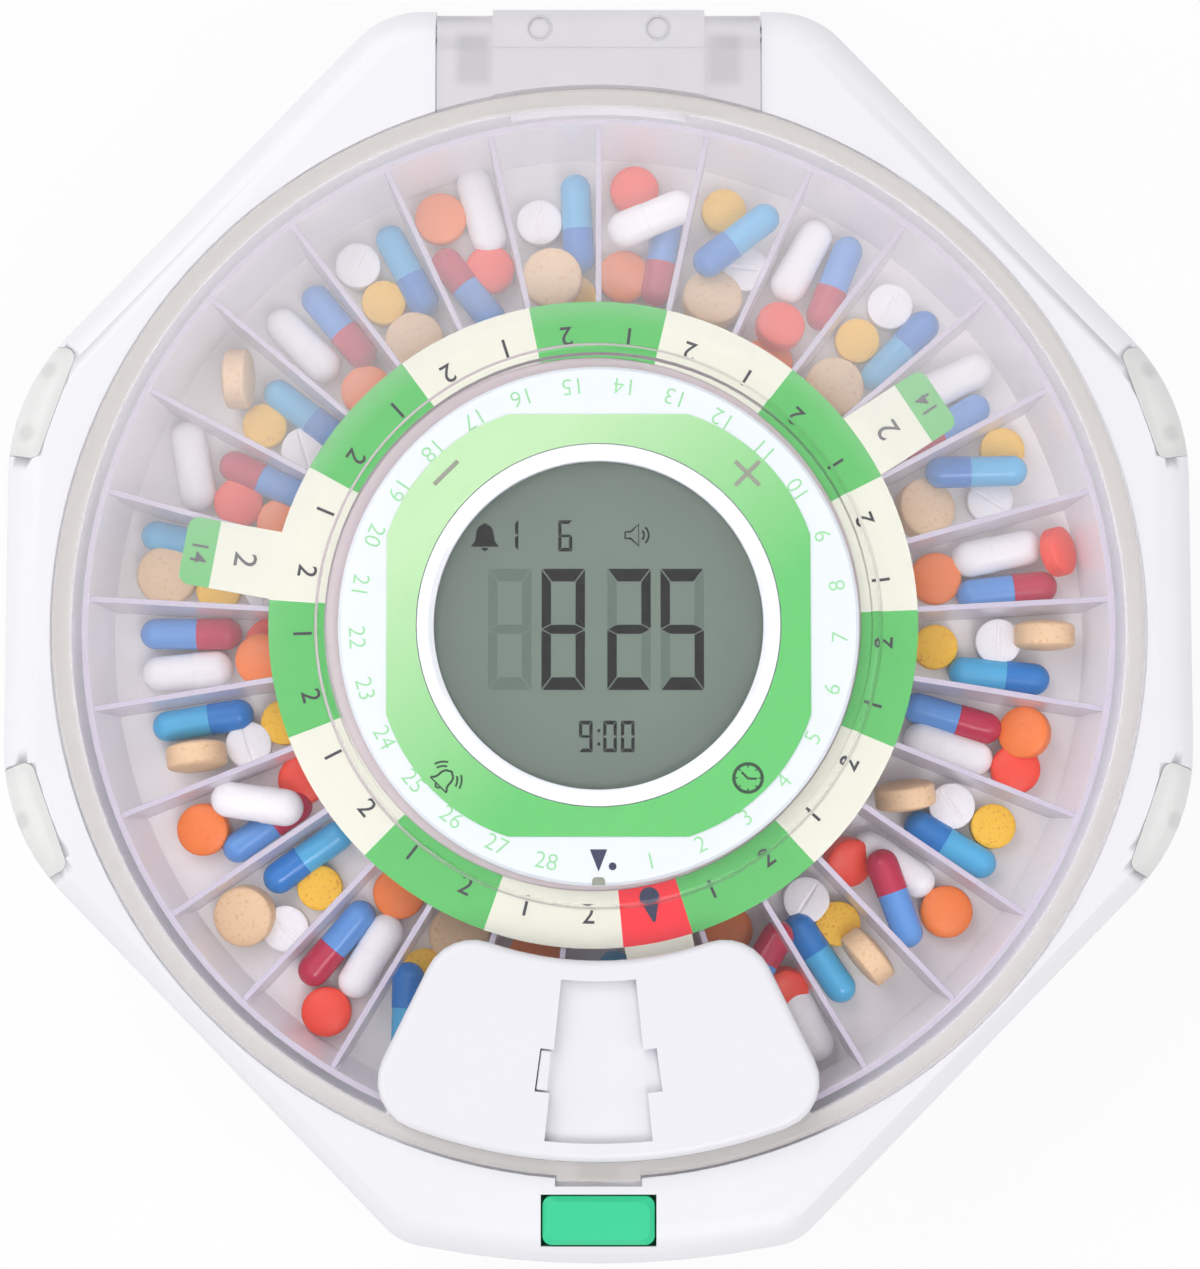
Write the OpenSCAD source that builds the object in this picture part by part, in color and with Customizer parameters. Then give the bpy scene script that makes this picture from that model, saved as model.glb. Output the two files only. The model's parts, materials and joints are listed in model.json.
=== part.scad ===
// Table-top automatic pill dispenser with a turning 29-cup tray under a clear hinged lid.
// Millimetres. +Z is up, -Y is the front, and the tray turns about the Z axis.

/* [Housing] */
// Width of the housing beside the lid, on the left and on the right
side_land = 9.6; // [8:0.1:14]
// Width of the housing beyond the lid, at the front and at the rear
end_land = 16.1; // [15.5:0.1:20]
// Width of the housing beyond the lid at the rear diagonals
rear_diagonal_land = 9.2; // [7:0.1:12]
// Width of the housing beyond the lid at the front diagonals
front_diagonal_land = 4.5; // [4.4:0.1:8]
// Direction that the rear diagonals face, in degrees from the side
rear_diagonal_a = 43.5; // [42:0.5:46]
// Direction that the front diagonals face, in degrees from the side
front_diagonal_a = 44.5; // [43:0.5:46]
// Thickness of the housing's outer walls
wall = 2.2; // [1.8:0.1:2.6]
// How far the rounded top edge reaches inwards
edge_w = 7; // [5:0.5:8]
// How far the rounded top edge drops
edge_drop = 5.5; // [4:0.5:7]
// Height of the parting line above the table
split_z = 24; // [23:0.5:28]
// Height of the rubber feet below the housing
foot_h = 1.5; // [1:0.25:3]
// Radius of a rubber foot
foot_r = 6; // [4:0.5:8]
// Distance of the feet from the middle, left to right
foot_x = 60; // [50:1:64]
// Distance of the feet from the middle, front to back
foot_y = 62; // [54:1:64]

/* [Battery bay] */
// Diameter of an AA cell
cell_d = 14.5; // [13.5:0.1:15.5]
// Length of an AA cell
cell_l = 50.5; // [48:0.5:51]
// Number of cells side by side
cell_n = 4; // [4:1:4]
// Thickness of the battery door
door_t = 1.8; // [1.6:0.1:2.4]
// Distance from the rear of the housing to the battery bay
bay_back = 11.5; // [8:0.5:12]

/* [Tray] */
// Number of positions round the tray: the doses and one empty home cup
positions = 29; // [29:1:29]
// Distance of the tray's rim inside the lid's edge
tray_in = 4.8; // [4:0.2:6.4]
// How far the tray's outer wall leans in at the floor
tray_draft = 2; // [1:0.25:3]
// Gap between the tray and the hub
bore_gap = 1.9; // [1.8:0.1:2.2]
// Thickness of the tray's walls and floor
tray_t = 1.2; // [1:0.1:1.5]
// Thickness of a divider between two cups
divider_t = 1.1; // [0.9:0.1:1.5]
// Depth of a dose cup
cup_depth = 21.4; // [20:0.2:24]
// Thickness of the dosage ring card
card_t = 0.5; // [0.4:0.1:1]
// Width of the dosage ring
card_w = 10.1; // [8:0.1:12]
// Length of the dosage ring's three tabs
tab_l = 17.4; // [10:0.1:24]

/* [Drive] */
// Tooth size (module) of the tray's ring gear
ring_m = 1; // [1:0.1:1]
// Teeth on the tray's ring gear
ring_teeth = 116; // [116:4:116]
// Teeth on the pinion that drives the ring gear
pinion_teeth = 12; // [12:4:16]
// Tooth size (module) of the motor's gear pair
fine_m = 0.5; // [0.5:0.1:0.5]
// Teeth on the motor pinion
motor_teeth = 12; // [12:4:12]
// Teeth on the reduction gear
wheel_teeth = 48; // [48:4:48]
// Diameter of the geared motor
motor_d = 24; // [20:0.5:25]
// Height of the geared motor
motor_h = 11.6; // [9:0.2:12]

/* [Hub and controls] */
// Outer radius of the hub column
hub_r = 46.4; // [46:0.1:46.8]
// How far the hub's white cover overhangs the column
face_over = 1.5; // [1:0.1:1.5]
// Thickness of the hub cover
face_t = 2; // [1.6:0.1:2.6]
// Radius of the ring round the display
bezel_r = 33.5; // [32.5:0.1:34.5]
// Radius of the visible display
lcd_r = 30.3; // [28:0.1:31]
// Half the width of the green printed label
label_half = 38.9; // [37:0.1:40]
// Distance of each control key from the middle, in X and in Y
key_at = 27.8; // [27.4:0.1:28.2]
// Radius of a key plunger
key_r = 2.6; // [2:0.1:2.8]
// Travel of a key
key_travel = 0.5; // [0.3:0.1:0.6]

/* [Lid] */
// Outer radius of the lid
lid_r = 100.4; // [100:0.1:100.6]
// Gap between the lid and the housing's mouth
mouth_gap = 0.6; // [0.4:0.1:0.8]
// Thickness of the lid
lid_t = 1.8; // [1.4:0.1:2.2]
// Gap between the dosage ring and the foot of the lid's skirt
skirt_gap = 0.3; // [0.2:0.1:0.6]
// Gap between the tray's rim and the lid's underside
lid_gap = 2.7; // [2.4:0.1:4]
// How far the lid's raised middle reaches beyond the hub's cover
dome_over = 4.1; // [2.7:0.1:6]
// Height of the raised middle above the lid's flat part
dome_rise = 3.7; // [3.5:0.1:5]
// Distance from the lid's edge back to the hinge axis
hinge_back = 11; // [10.6:0.1:11.4]
// Half the width of the hinge bracket
bracket_half = 30.1; // [28:0.1:31]
// Radius of the hinge pins
hinge_pin_r = 1.55; // [1.2:0.05:1.9]

/* [Dispensing window] */
// Distance from the lid's raised middle to the window cover
cover_from = 9.4; // [8.8:0.1:10.4]
// Distance of the window cover inside the lid's edge
cover_inset = 2.8; // [2.6:0.1:3.4]
// Half the angle that the window cover spans, in degrees
cover_half = 26.3; // [25.6:0.1:28]
// Height of the window cover above the lid
cover_h = 3.7; // [3.5:0.1:5]
// Width of the window cover on the inner side of the opening
window_from = 3.7; // [3.2:0.1:5.6]
// Width of the window cover on the outer side of the opening
window_to = 3.4; // [3.4:0.1:5.6]
// Half the angle of the opening, in degrees
window_half = 5.95; // [5.6:0.05:6]
// Thickness of the shutter
shutter_t = 1.2; // [1:0.1:1.3]
// Angle that the shutter slides through, in degrees
shutter_swing = 13.6; // [13:0.1:13.7]

/* [Lid release] */
// Half the width of the press button
press_half = 10.2; // [9.6:0.1:10.4]
// Depth of the press button, front to back
press_d = 8.8; // [8.4:0.1:9]
// Distance from the lid's edge forward to the middle of the press button
press_from = 7.9; // [7.8:0.1:8]
// Travel of the press button
press_travel = 2; // [1.5:0.1:2.2]

/* [Hidden] */

$fn = 96;
seat_gap = 0.3;     // gap between a part and the seat that carries it
run_gap = 0.05;     // radial gap of a running fit
slip = 0.15;        // gap round a part that slides
pitch = 360 / positions;

// Outer sizes, and the radii that follow the lid and the hub
body_w = 2 * (lid_r + side_land);
body_d = 2 * (lid_r + end_land);
tray_r = lid_r - tray_in;
tray_bore = hub_r + bore_gap;
card_r = tray_bore + tray_t + card_w;
tab_reach = card_r + tab_l;
face_r = hub_r + face_over;
dome_r = face_r + dome_over;
cover_in = dome_r + cover_from;
cover_out = lid_r - cover_inset;
window_in = cover_in + window_from;
window_out = cover_out - window_to;
press_y = lid_r + press_from;

// Heights, from the table up
bay_roof_t = 1.2;
deck_gap = 0.9;
deck_t = 2;
table_t = 2;
table_lift = 0.1;
dome_gap = 2.1;
lid_proud = 1.2;
rim_rise = 0.6;
ledge_t = 2;

floor_z = foot_h + wall;
door_top = foot_h + door_t;
cell_z = door_top + seat_gap + cell_d / 2;
bay_roof = cell_z + cell_d / 2 + seat_gap;
deck_z = bay_roof + bay_roof_t + deck_gap;
well_z = deck_z + deck_t;
table_z = well_z + table_lift;
tray_z = table_z + table_t;
cup_z = tray_z + tray_t;
tray_top = cup_z + cup_depth;
lid_z = tray_top + lid_gap;
lid_top = lid_z + lid_t;
top_z = lid_top - lid_proud;
rim_top = lid_top + rim_rise;
dome_top = lid_top + dome_rise;
face_z = dome_top - lid_t - dome_gap;
column_top = face_z - face_t;
skirt_z = tray_top + card_t + skirt_gap;
ledge_z = skirt_z - seat_gap;

// Radii of the well
mouth_r = lid_r + mouth_gap;
mouth_wall = 1.6;
skirt_t = 2;
well_r = tray_r + 1.8;
well_wall = 2;
rib_r = tray_r - 9.6;
rib_w = 1.5;

// Outline helpers
function unit(v) = v / norm(v);
function cross2(a, b) = a[0] * b[1] - a[1] * b[0];
function left_of(p, q) = let (d = unit(q - p)) [-d[1], d[0]];
function meet(p, d, q, e) = p + d * cross2(q - p, e) / cross2(d, e);
function inset_corner(a, b, c, d) =
    meet(a + left_of(a, b) * d, unit(b - a), b + left_of(b, c) * d, unit(c - b));
function inset_corners(pts, d) = let (n = len(pts))
    [for (i = [0:n - 1]) inset_corner(pts[(i + n - 1) % n], pts[i], pts[(i + 1) % n], d)];
function corner_arc(a, b, c, r, n) = let (
        u = unit(a - b),
        v = unit(c - b),
        half = acos(u * v) / 2,
        p = b + u * r / tan(half),
        m = b + unit(u + v) * r / sin(half),
        s = atan2(p[1] - m[1], p[0] - m[0]),
        turn = sign(cross2(b - a, c - b)) * (180 - 2 * half))
    [for (i = [0:n]) m + r * [cos(s + turn * i / n), sin(s + turn * i / n)]];
// A polygon with rounded corners, moved inwards by d
function rounded(pts, radii, d = 0, n = 8) = let (q = inset_corners(pts, d), k = len(q))
    [for (i = [0:k - 1]) each
        corner_arc(q[(i + k - 1) % k], q[i], q[(i + 1) % k], max(radii[i] - d, 0.6), n)];
function polar(r, a) = r * [cos(a), sin(a)];
// A point at radius r, t degrees round from the front towards the right
function at(r, t) = r * [sin(t), -cos(t)];
function arc(r, a, b, n) = [for (i = [1:n - 1]) at(r, a + (b - a) * i / n)];
function fan(m, r, a, b) = [for (i = [0:6]) m + at(r, a + (b - a) * i / 6)];

// The housing's outline: sharp corners, their radii, and slices of the rounded shell
front_slope = 11;
front_bow_r = 168;
front_tip = body_d / 2 + front_bow_r * (1 / cos(front_slope) - 1);
// Each side as the direction that it faces and its distance from the tray's axis
body_sides = [[0, body_w / 2], [rear_diagonal_a, lid_r + rear_diagonal_land], [90, body_d / 2],
              [180 - rear_diagonal_a, lid_r + rear_diagonal_land], [180, body_w / 2],
              [180 + front_diagonal_a, lid_r + front_diagonal_land],
              [270 - front_slope, front_tip * cos(front_slope)],
              [270 + front_slope, front_tip * cos(front_slope)],
              [360 - front_diagonal_a, lid_r + front_diagonal_land]];
function side_meet(p, q) =
    meet(polar(p[1], p[0]), polar(1, p[0] + 90), polar(q[1], q[0]), polar(1, q[0] + 90));
body_corners = [for (i = [0:8]) side_meet(body_sides[(i + 8) % 9], body_sides[i])];
side_front = -body_corners[0][1];
side_rear = body_corners[1][1];
body_radii = [38, 38, 17, 17, 38, 38, 11, front_bow_r, 11];
base_edge_w = 6;
base_edge_h = 9;
base_draft = 1.2;

function outline(d, z) = lift(rounded(body_corners, body_radii, d), z);

// Upper housing as a solid; t moves every face inwards
module upper_form(t) skin(concat([outline(t, split_z - (t > 0 ? 1 : 0))],
    [for (a = [0:15:90]) outline(t + edge_w * (1 - cos(a)), top_z - t - edge_drop * (1 - sin(a)))]));

// Base as a solid; t moves every face inwards
module lower_form(t) skin(concat(
    [for (a = [90:-15:0])
        outline(t + base_draft + base_edge_w * (1 - cos(a)), foot_h + t + base_edge_h * (1 - sin(a)))],
    [outline(t, split_z + (t > 0 ? 1 : 0))]));

module block(x0, x1, y0, y1, z0, z1) translate([x0, y0, z0]) cube([x1 - x0, y1 - y0, z1 - z0]);
module peg(p, r, z0, z1) translate([p[0], p[1], z0]) cylinder(r = r, h = z1 - z0);
module ring(r0, r1, z0, z1) translate([0, 0, z0]) difference() {
    cylinder(r = r1, h = z1 - z0);
    translate([0, 0, -1]) cylinder(r = r0, h = z1 - z0 + 2);
}

// A prism across X from a profile in Y and Z
module side_prism(half, pts) rotate([90, 0, 90]) translate([0, 0, -half])
    linear_extrude(2 * half) polygon(pts);

// Hinge
hinge_y = lid_r + hinge_back;
hinge_z = lid_top - 3.1;
barrel_r = 3.4;
shoulder_gap = 0.4;
notch_half = bracket_half + shoulder_gap;
notch_z = hinge_z - 6;
notch_wall = 3.6;
pin_reach = 8;
pin_seat = 2.6;
panel_half = 19.7;
panel_rise = 0.8;
leaf_t = 1.6;
leaf_half = 27;
leaf_y = hinge_y - barrel_r - 1;
leaf_z = lid_z - 2;
bracket_screw_x = 11;
bracket_screw_y = leaf_y - 2.6;

// Lid release
press_front = press_y + press_d / 2;
press_rear = press_y - press_d / 2;
press_top = top_z + 0.4;
press_wall = 1.2;
press_bottom = 43;
press_flange_t = 1.2;
press_flange = 1.2;
press_floor = 38.5;
press_floor_t = 2;
press_spring_x = 7;
press_spring_r = 1.5;
press_wire = 0.5;
slider_half = 3.6;
slider_z = 45.6;
slider_t = 1.6;
slider_tip = lid_r + 0.6;
hook_l = 0.75;
hook_top = skirt_z + 0.8;
wedge_half = 1.8;
wedge_z = slider_z + slider_t + 0.2;
wedge_back = press_rear + 3.5;
wedge_toe = wedge_back + 0.8;
slider_slot = wedge_back - press_travel - 0.2;
slider_ramp = wedge_toe - 0.03;
slider_end = slider_ramp + 1.03;
tongue_half = 7.6;
tongue_reach = 0.7;
tongue_t = rim_top - hook_top - 0.4;
tongue_gap = 0.3;

// Lenses at the corners: inner line and two end lines, cut out of the housing's rounded corner
lens_z = 38;
lens_gap = 0.12;
lens_wall = 1.6;
lens_rear = [[body_w / 2 - 13.5, side_rear + 8.1], [body_w / 2 - 6.3, side_rear - 12.7],
             [body_w / 2 + 5, side_rear - 10.3], [body_w / 2 + 5, side_rear + 12.2]];
lens_front = [[body_w / 2 - 6, 13 - side_front], [body_w / 2 - 13.1, -side_front - 6.8],
              [body_w / 2 + 5, -side_front - 15.4], [body_w / 2 + 5, 9.3 - side_front]];
module lens_prism(front, d, z0, z1) {
    pts = front ? [for (i = [3:-1:0]) lens_front[i]] : [for (i = [0:3]) lens_rear[i]];
    ordered = cross2(pts[1] - pts[0], pts[2] - pts[1]) > 0 ? pts : [for (i = [3:-1:0]) pts[i]];
    translate([0, 0, z0]) linear_extrude(z1 - z0) polygon(rounded(ordered, [2, 2, 2, 2], d, 4));
}
module lens_prisms(d, z0, z1) for (s = [0, 1], f = [false, true]) mirror([s, 0, 0]) lens_prism(f, d, z0, z1);

// Screws that join the two shells
rear_post = body_corners[2] + [3.4, -13.5];
front_post = body_corners[8] + [1.5, 10.5];
outer_posts = [for (p = [rear_post, front_post], s = [1, -1]) [s * p[0], p[1]]];
post_r = 3.4;
inner_post_at = 28.6;
inner_posts = [for (x = [-1, 1], y = [-1, 1]) inner_post_at * [x, y]];
screw_r = 1.2;
screw_hole_r = 1.25;
screw_head_r = 2.6;
screw_head_h = 1.8;
screw_seat = 10;
inner_seat = 8;
outer_screw_top = split_z + 12;
inner_screw_top = deck_z + 9;

// Drive train
ring_r = ring_m * ring_teeth / 2;
pinion_r = ring_m * pinion_teeth / 2;
wheel_r = fine_m * wheel_teeth / 2;
motor_pinion_r = fine_m * motor_teeth / 2;
gear_a = -10 * 360 / ring_teeth;
gear_d = ring_r + pinion_r + 0.05;
motor_at_d = gear_d + wheel_r + motor_pinion_r + 0.05;
wheel_z = deck_z - 3.5;
wheel_t = 2.5;
bracket_z = wheel_z - 1.2;
bracket_t = 0.9;
gear_hub_r = 3;
gear_stub_r = 1.5;
motor_shaft_r = 1;
ear_at = 16;
ear_r = 3;

// Tooth flank of an involute gear, pressure angle 25 degrees
flank = 25;
play = 0.06;
function inv(a) = tan(a) - a * PI / 180;
function tooth_half(r, m, n) = let (rp = m * n / 2, rb = rp * cos(flank))
    (PI / (2 * n) - play / (2 * rp) + inv(flank) - (r > rb ? inv(acos(rb / r)) : 0)) * 180 / PI;
function gear_points(m, n) = let (
        rp = m * n / 2,
        rb = rp * cos(flank),
        tip = rp + 0.85 * m,
        root = rp - 1.1 * m,
        start = max(root + 0.02, rb),
        rs = [root, start, rp, tip])
    [for (k = [0:n - 1]) let (c = 360 * k / n) each concat(
        [for (r = rs) polar(r, c - tooth_half(max(r, start), m, n))],
        [for (i = [3:-1:0]) polar(rs[i], c + tooth_half(max(rs[i], start), m, n))])];
module gear_disc(m, n, z0, z1) translate([0, 0, z0]) linear_extrude(z1 - z0) polygon(gear_points(m, n));

module at_gear() rotate(gear_a) translate([gear_d, 0, 0]) children();
module at_motor() rotate(gear_a) translate([motor_at_d, 0, 0]) children();

// A coil spring: one tube swept along a helix, with closed ends
function helix_ring(r, w, z, t, sides) =
    [for (k = [0:sides - 1]) let (b = 360 * k / sides)
        [(r + w * cos(b)) * cos(t), (r + w * cos(b)) * sin(t), z + w * sin(b)]];
module coil(r, w, h, turns) {
    sides = 6;
    steps = turns * 8;
    pts = [for (i = [0:steps]) each helix_ring(r, w, w + (h - 2 * w) * i / steps, 45 * i, sides)];
    walls = [for (i = [0:steps - 1], k = [0:sides - 1]) let (n = (k + 1) % sides)
        each [[i * sides + k, i * sides + n, (i + 1) * sides + n],
              [i * sides + k, (i + 1) * sides + n, (i + 1) * sides + k]]];
    ends = [[for (k = [sides - 1:-1:0]) k], [for (k = [0:sides - 1]) steps * sides + k]];
    polyhedron(points = pts, faces = concat(walls, ends), convexity = 8);
}

// Outline of a ring sector about the front, with corners of radius c, moved inwards by d
function sector_points(r0, r1, half, c, d = 0) = let (
        i = r0 + d,
        o = r1 - d,
        k = max(c - d, 0.5),
        go = half - asin((k + d) / (o - k)),
        gi = half - asin((k + d) / (i + k)),
        right = concat(fan(at(o - k, go), k, go, half + 90), fan(at(i + k, gi), k, half + 90, gi + 180)),
        left = [for (j = [len(right) - 1:-1:0]) [-right[j][0], right[j][1]]])
    concat(arc(o, -go, go, 24), right, arc(i, gi, -gi, 16), left);

// A slab with rounded upper edges, joined from stacked outlines of equal length
module skin(layers) {
    n = len(layers[0]);
    m = len(layers);
    walls = [for (j = [0:m - 2], k = [0:n - 1]) let (a = j * n + k, b = j * n + (k + 1) % n)
        each [[a, a + n, b + n], [a, b + n, b]]];
    ends = [[for (k = [0:n - 1]) k], [for (k = [n - 1:-1:0]) (m - 1) * n + k]];
    polyhedron(points = [for (l = layers) each l], faces = concat(walls, ends), convexity = 10);
}
function lift(pts, z) = [for (p = pts) [p[0], p[1], z]];

// Housing
module hinge_block() block(-notch_half - notch_wall, notch_half + notch_wall, mouth_r - 4,
                           body_d, notch_z - 2, top_z + 5);
module press_block() block(-press_half - 3.4, press_half + 3.4, -body_d, -mouth_r + 4,
                           press_floor - press_floor_t, top_z + 5);

// Wall of the well that holds the tray, and the ledge under the lid's skirt
module well_ring() rotate_extrude() polygon([
    [well_r, well_z], [well_r + well_wall, well_z], [well_r + well_wall, ledge_z - ledge_t],
    [mouth_r + mouth_wall, ledge_z - ledge_t], [mouth_r + mouth_wall, top_z - 1.9],
    [mouth_r, top_z - 1.9], [mouth_r, ledge_z], [well_r, ledge_z]]);

module press_hole() {
    // hole through the top for the button's cap, and the pocket for its flange below
    block(-press_half - slip * 2, press_half + slip * 2, -press_front - slip * 2,
          -press_rear + slip * 2, press_floor + 1, top_z + 5);
    block(-press_half - press_flange - slip * 2, press_half + press_flange + slip * 2,
          -press_front - 0.9, -press_rear + 0.4, press_floor,
          press_bottom + press_flange_t + slip * 2);
    // slot for the latch slider and its hook, and the notch for the lid's tongue above it
    block(-slider_half - slip, slider_half + slip, -press_rear - 1, -mouth_r + 3,
          slider_z - slip, slider_z + slider_t + slip);
    block(-slider_half - slip, slider_half + slip, -slider_tip - hook_l - press_travel - slip, -mouth_r + 3,
          slider_z, hook_top + slip);
    block(-tongue_half - tongue_gap, tongue_half + tongue_gap, -lid_r - tongue_reach - 1.1,
          -mouth_r + 6, rim_top - tongue_t - 0.2, top_z + 5);
}

module top_housing() color("#f4f4f9") difference() {
    union() {
        difference() {
            upper_form(0);
            difference() {
                upper_form(wall);
                hinge_block();
                press_block();
                lens_prisms(-lens_wall, lens_z - lens_wall, top_z + 5);
                for (p = outer_posts) peg(p, post_r, split_z - 2, top_z);
            }
            peg([0, 0], mouth_r, split_z - 2, top_z + 5);
        }
        well_ring();
        block(-press_half - 2.6, press_half + 2.6, -press_rear - 0.4, -mouth_r - mouth_wall + 0.6,
              press_floor, ledge_z);
    }
    block(-notch_half, notch_half, mouth_r - 5, body_d, notch_z, top_z + 5);
    for (s = [-1, 1]) translate([s * notch_half - (s < 0 ? notch_wall - 0.6 : 1), hinge_y, hinge_z])
        rotate([0, 90, 0]) cylinder(r = hinge_pin_r + 0.01, h = notch_wall + 0.4);
    press_hole();
    lens_prisms(0, lens_z, top_z + 5);
    for (p = outer_posts) peg(p, screw_hole_r, split_z - 3, outer_screw_top);
}

// Deck under the tray: floor of the well, with the rib that steadies the tray, and posts for screws
deck_bore = 37;
module tray_deck() color("#f1f1f6") difference() {
    union() {
        rotate_extrude() polygon([
            [deck_bore, deck_z], [well_r + well_wall, deck_z], [well_r + well_wall, well_z],
            [rib_r + rib_w, well_z], [rib_r + rib_w, tray_z - 0.25], [rib_r, tray_z - 0.25],
            [rib_r, well_z], [deck_bore, well_z]]);
        for (p = inner_posts) peg(p, post_r, deck_z, inner_screw_top + 2);
        for (s = [-1, 1]) rotate(gear_a) translate([motor_at_d, s * ear_at, bracket_z + bracket_t])
            cylinder(r = ear_r, h = deck_z - bracket_z - bracket_t + 0.5);
    }
    for (p = inner_posts) peg(p, screw_hole_r, deck_z - 1, inner_screw_top);
    at_gear() peg([0, 0], gear_hub_r + run_gap, deck_z - 1, well_z + 1);
    for (s = [-1, 1]) rotate(gear_a) translate([motor_at_d, s * ear_at, bracket_z])
        cylinder(r = 0.85, h = deck_z - bracket_z + 1);
}

// Column that the tray turns round, with a shelf inside for the main board
module hub_column() color("#f1f1f6") difference() {
    rotate_extrude() polygon([
        [hub_r - wall, well_z], [hub_r, well_z], [hub_r, column_top], [hub_r - wall, column_top],
        [hub_r - wall, board_z], [shelf_r, board_z], [shelf_r, board_z - shelf_t],
        [hub_r - wall, board_z - shelf_t]]);
    for (a = [0:90:270]) rotate(a) peg([board_screw_d, 0], 0.95, board_z - shelf_t - 1, board_z + 1);
}

// Base
bay_wall = 1.5;
bay_l = cell_l + 7;
bay_w = cell_n * cell_d + (cell_n + 1) * 0.4;
bay_rear = body_d / 2 - bay_back;
bay_front = bay_rear - bay_w;
door_half = bay_l / 2 + 1;
door_lip = 1;
door_front = bay_front - 0.5;
post_top = deck_z - 0.1;
lip_h = 1.4;
lip_t = 1.2;

module door_prism(d, flange, z0, z1) block(-door_half - flange + d, door_half + flange - d,
                                           door_front - flange * 0.8 + d, body_d, z0, z1);

module base_shell() color("#f1f1f6") difference() {
    union() {
        difference() {
            lower_form(0);
            difference() {
                lower_form(wall);
                // battery bay: four walls under a roof
                block(-bay_l / 2 - bay_wall, bay_l / 2 + bay_wall, bay_front - bay_wall,
                      bay_rear + bay_wall, foot_h, bay_roof + bay_roof_t);
                block(-door_half - 3, door_half + 3, door_front - 3, body_d, foot_h, floor_z + 0.3);
                for (p = outer_posts) peg(p, post_r, foot_h, split_z + 2);
                for (p = inner_posts) peg(p, post_r, foot_h, post_top);
                ring(speaker_r + 0.2, speaker_r + 1.8, foot_h, floor_z + 3);
            }
        }
        difference() {
            translate([0, 0, split_z - 3]) linear_extrude(3 + lip_h)
                polygon(rounded(body_corners, body_radii, wall + slip));
            translate([0, 0, split_z - 4]) linear_extrude(5 + lip_h)
                polygon(rounded(body_corners, body_radii, wall + slip + lip_t));
            for (p = outer_posts) peg(p, post_r + slip, split_z, split_z + 5);
        }
    }
    // inside of the bay, and the door's opening with its two grooves
    block(-bay_l / 2, bay_l / 2, bay_front, bay_rear, foot_h - 1, bay_roof);
    door_prism(-slip, 0, foot_h - 1, door_top + slip);
    door_prism(-slip, door_lip, foot_h + 0.9, door_top + slip);
    for (p = outer_posts) {
        peg(p, 1.6, foot_h - 1, split_z + 5);
        peg(p, screw_head_r + 0.3, foot_h - 1, screw_seat);
    }
    for (p = inner_posts) {
        peg(p, 1.6, foot_h - 1, post_top + 1);
        peg(p, screw_head_r + 0.3, foot_h - 1, inner_seat);
    }
    for (x = [-1, 1], y = [-1, 1]) peg([x * foot_x, y * foot_y], foot_r + 0.1, foot_h - 1, foot_h + 0.6);
    // sound holes under the speaker
    peg([0, 0], 1.2, 0, floor_z + 1);
    for (a = [0:60:300]) rotate(a) peg([6, 0], 1.2, 0, floor_z + 1);
}

module battery_door() color("#eeeef3") intersection() {
    lower_form(0);
    union() {
        door_prism(0, 0, foot_h - 1, door_top);
        door_prism(0, door_lip, foot_h + 0.9 + slip, door_top);
    }
}

function cell_y(i) = bay_front + 0.4 + cell_d / 2 + (i - 1) * (cell_d + 0.4);
module battery_cell(i) {
    s = i % 2 == 0 ? 1 : -1;
    translate([0, cell_y(i), cell_z]) rotate([0, s * 90, 0]) rotate_extrude() polygon([
        [0, -cell_l / 2], [cell_d / 2 - 0.6, -cell_l / 2], [cell_d / 2, -cell_l / 2 + 0.6],
        [cell_d / 2, cell_l / 2 - 2], [cell_d / 2 - 1, cell_l / 2 - 1.2],
        [2.75, cell_l / 2 - 1.2], [2.75, cell_l / 2], [0, cell_l / 2]]);
}
module battery_cell_1() color("#2f6f4f") battery_cell(1);
module battery_cell_2() color("#2f6f4f") battery_cell(2);
module battery_cell_3() color("#2f6f4f") battery_cell(3);
module battery_cell_4() color("#2f6f4f") battery_cell(4);

// A plate against the bay's end wall, and a pressed spring dome that reaches the cell
module battery_contacts() color("silver") for (i = [1:cell_n], s = [-1, 1])
    translate([s * (bay_l / 2 - 0.1), cell_y(i), cell_z]) rotate([0, -s * 90, 0]) {
        translate([-5, -5, 0]) cube([10, 10, 0.5]);
        translate([0, 0, 0.5]) cylinder(r1 = 4, r2 = 2.2, h = (bay_l - cell_l) / 2 - 0.9);
    }

module foot(x, y) color("#3a3a3e") translate([x, y, 0]) rotate_extrude() polygon([
    [0, 0], [foot_r - 0.5, 0], [foot_r, 0.5], [foot_r, foot_h + 0.55], [0, foot_h + 0.55]]);
module foot_front_left() foot(-foot_x, -foot_y);
module foot_front_right() foot(foot_x, -foot_y);
module foot_rear_left() foot(-foot_x, foot_y);
module foot_rear_right() foot(foot_x, foot_y);

module housing_screw(p, seat, top) {
    peg(p, screw_head_r, seat - screw_head_h, seat);
    peg(p, screw_r, seat - 0.5, top);
}
module housing_screws() color("silver") {
    for (p = outer_posts) housing_screw(p, screw_seat, outer_screw_top - 2);
    for (p = inner_posts) housing_screw(p, inner_seat, inner_screw_top - 2);
}

speaker_r = 14;
module speaker() color("#303034") translate([0, 0, floor_z + 0.05]) rotate_extrude() polygon([
    [0, 0.8], [speaker_r - 3, 0.8], [speaker_r - 2, 0], [speaker_r, 0], [speaker_r, 2.4],
    [8, 4.6], [0, 4.6]]);

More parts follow.
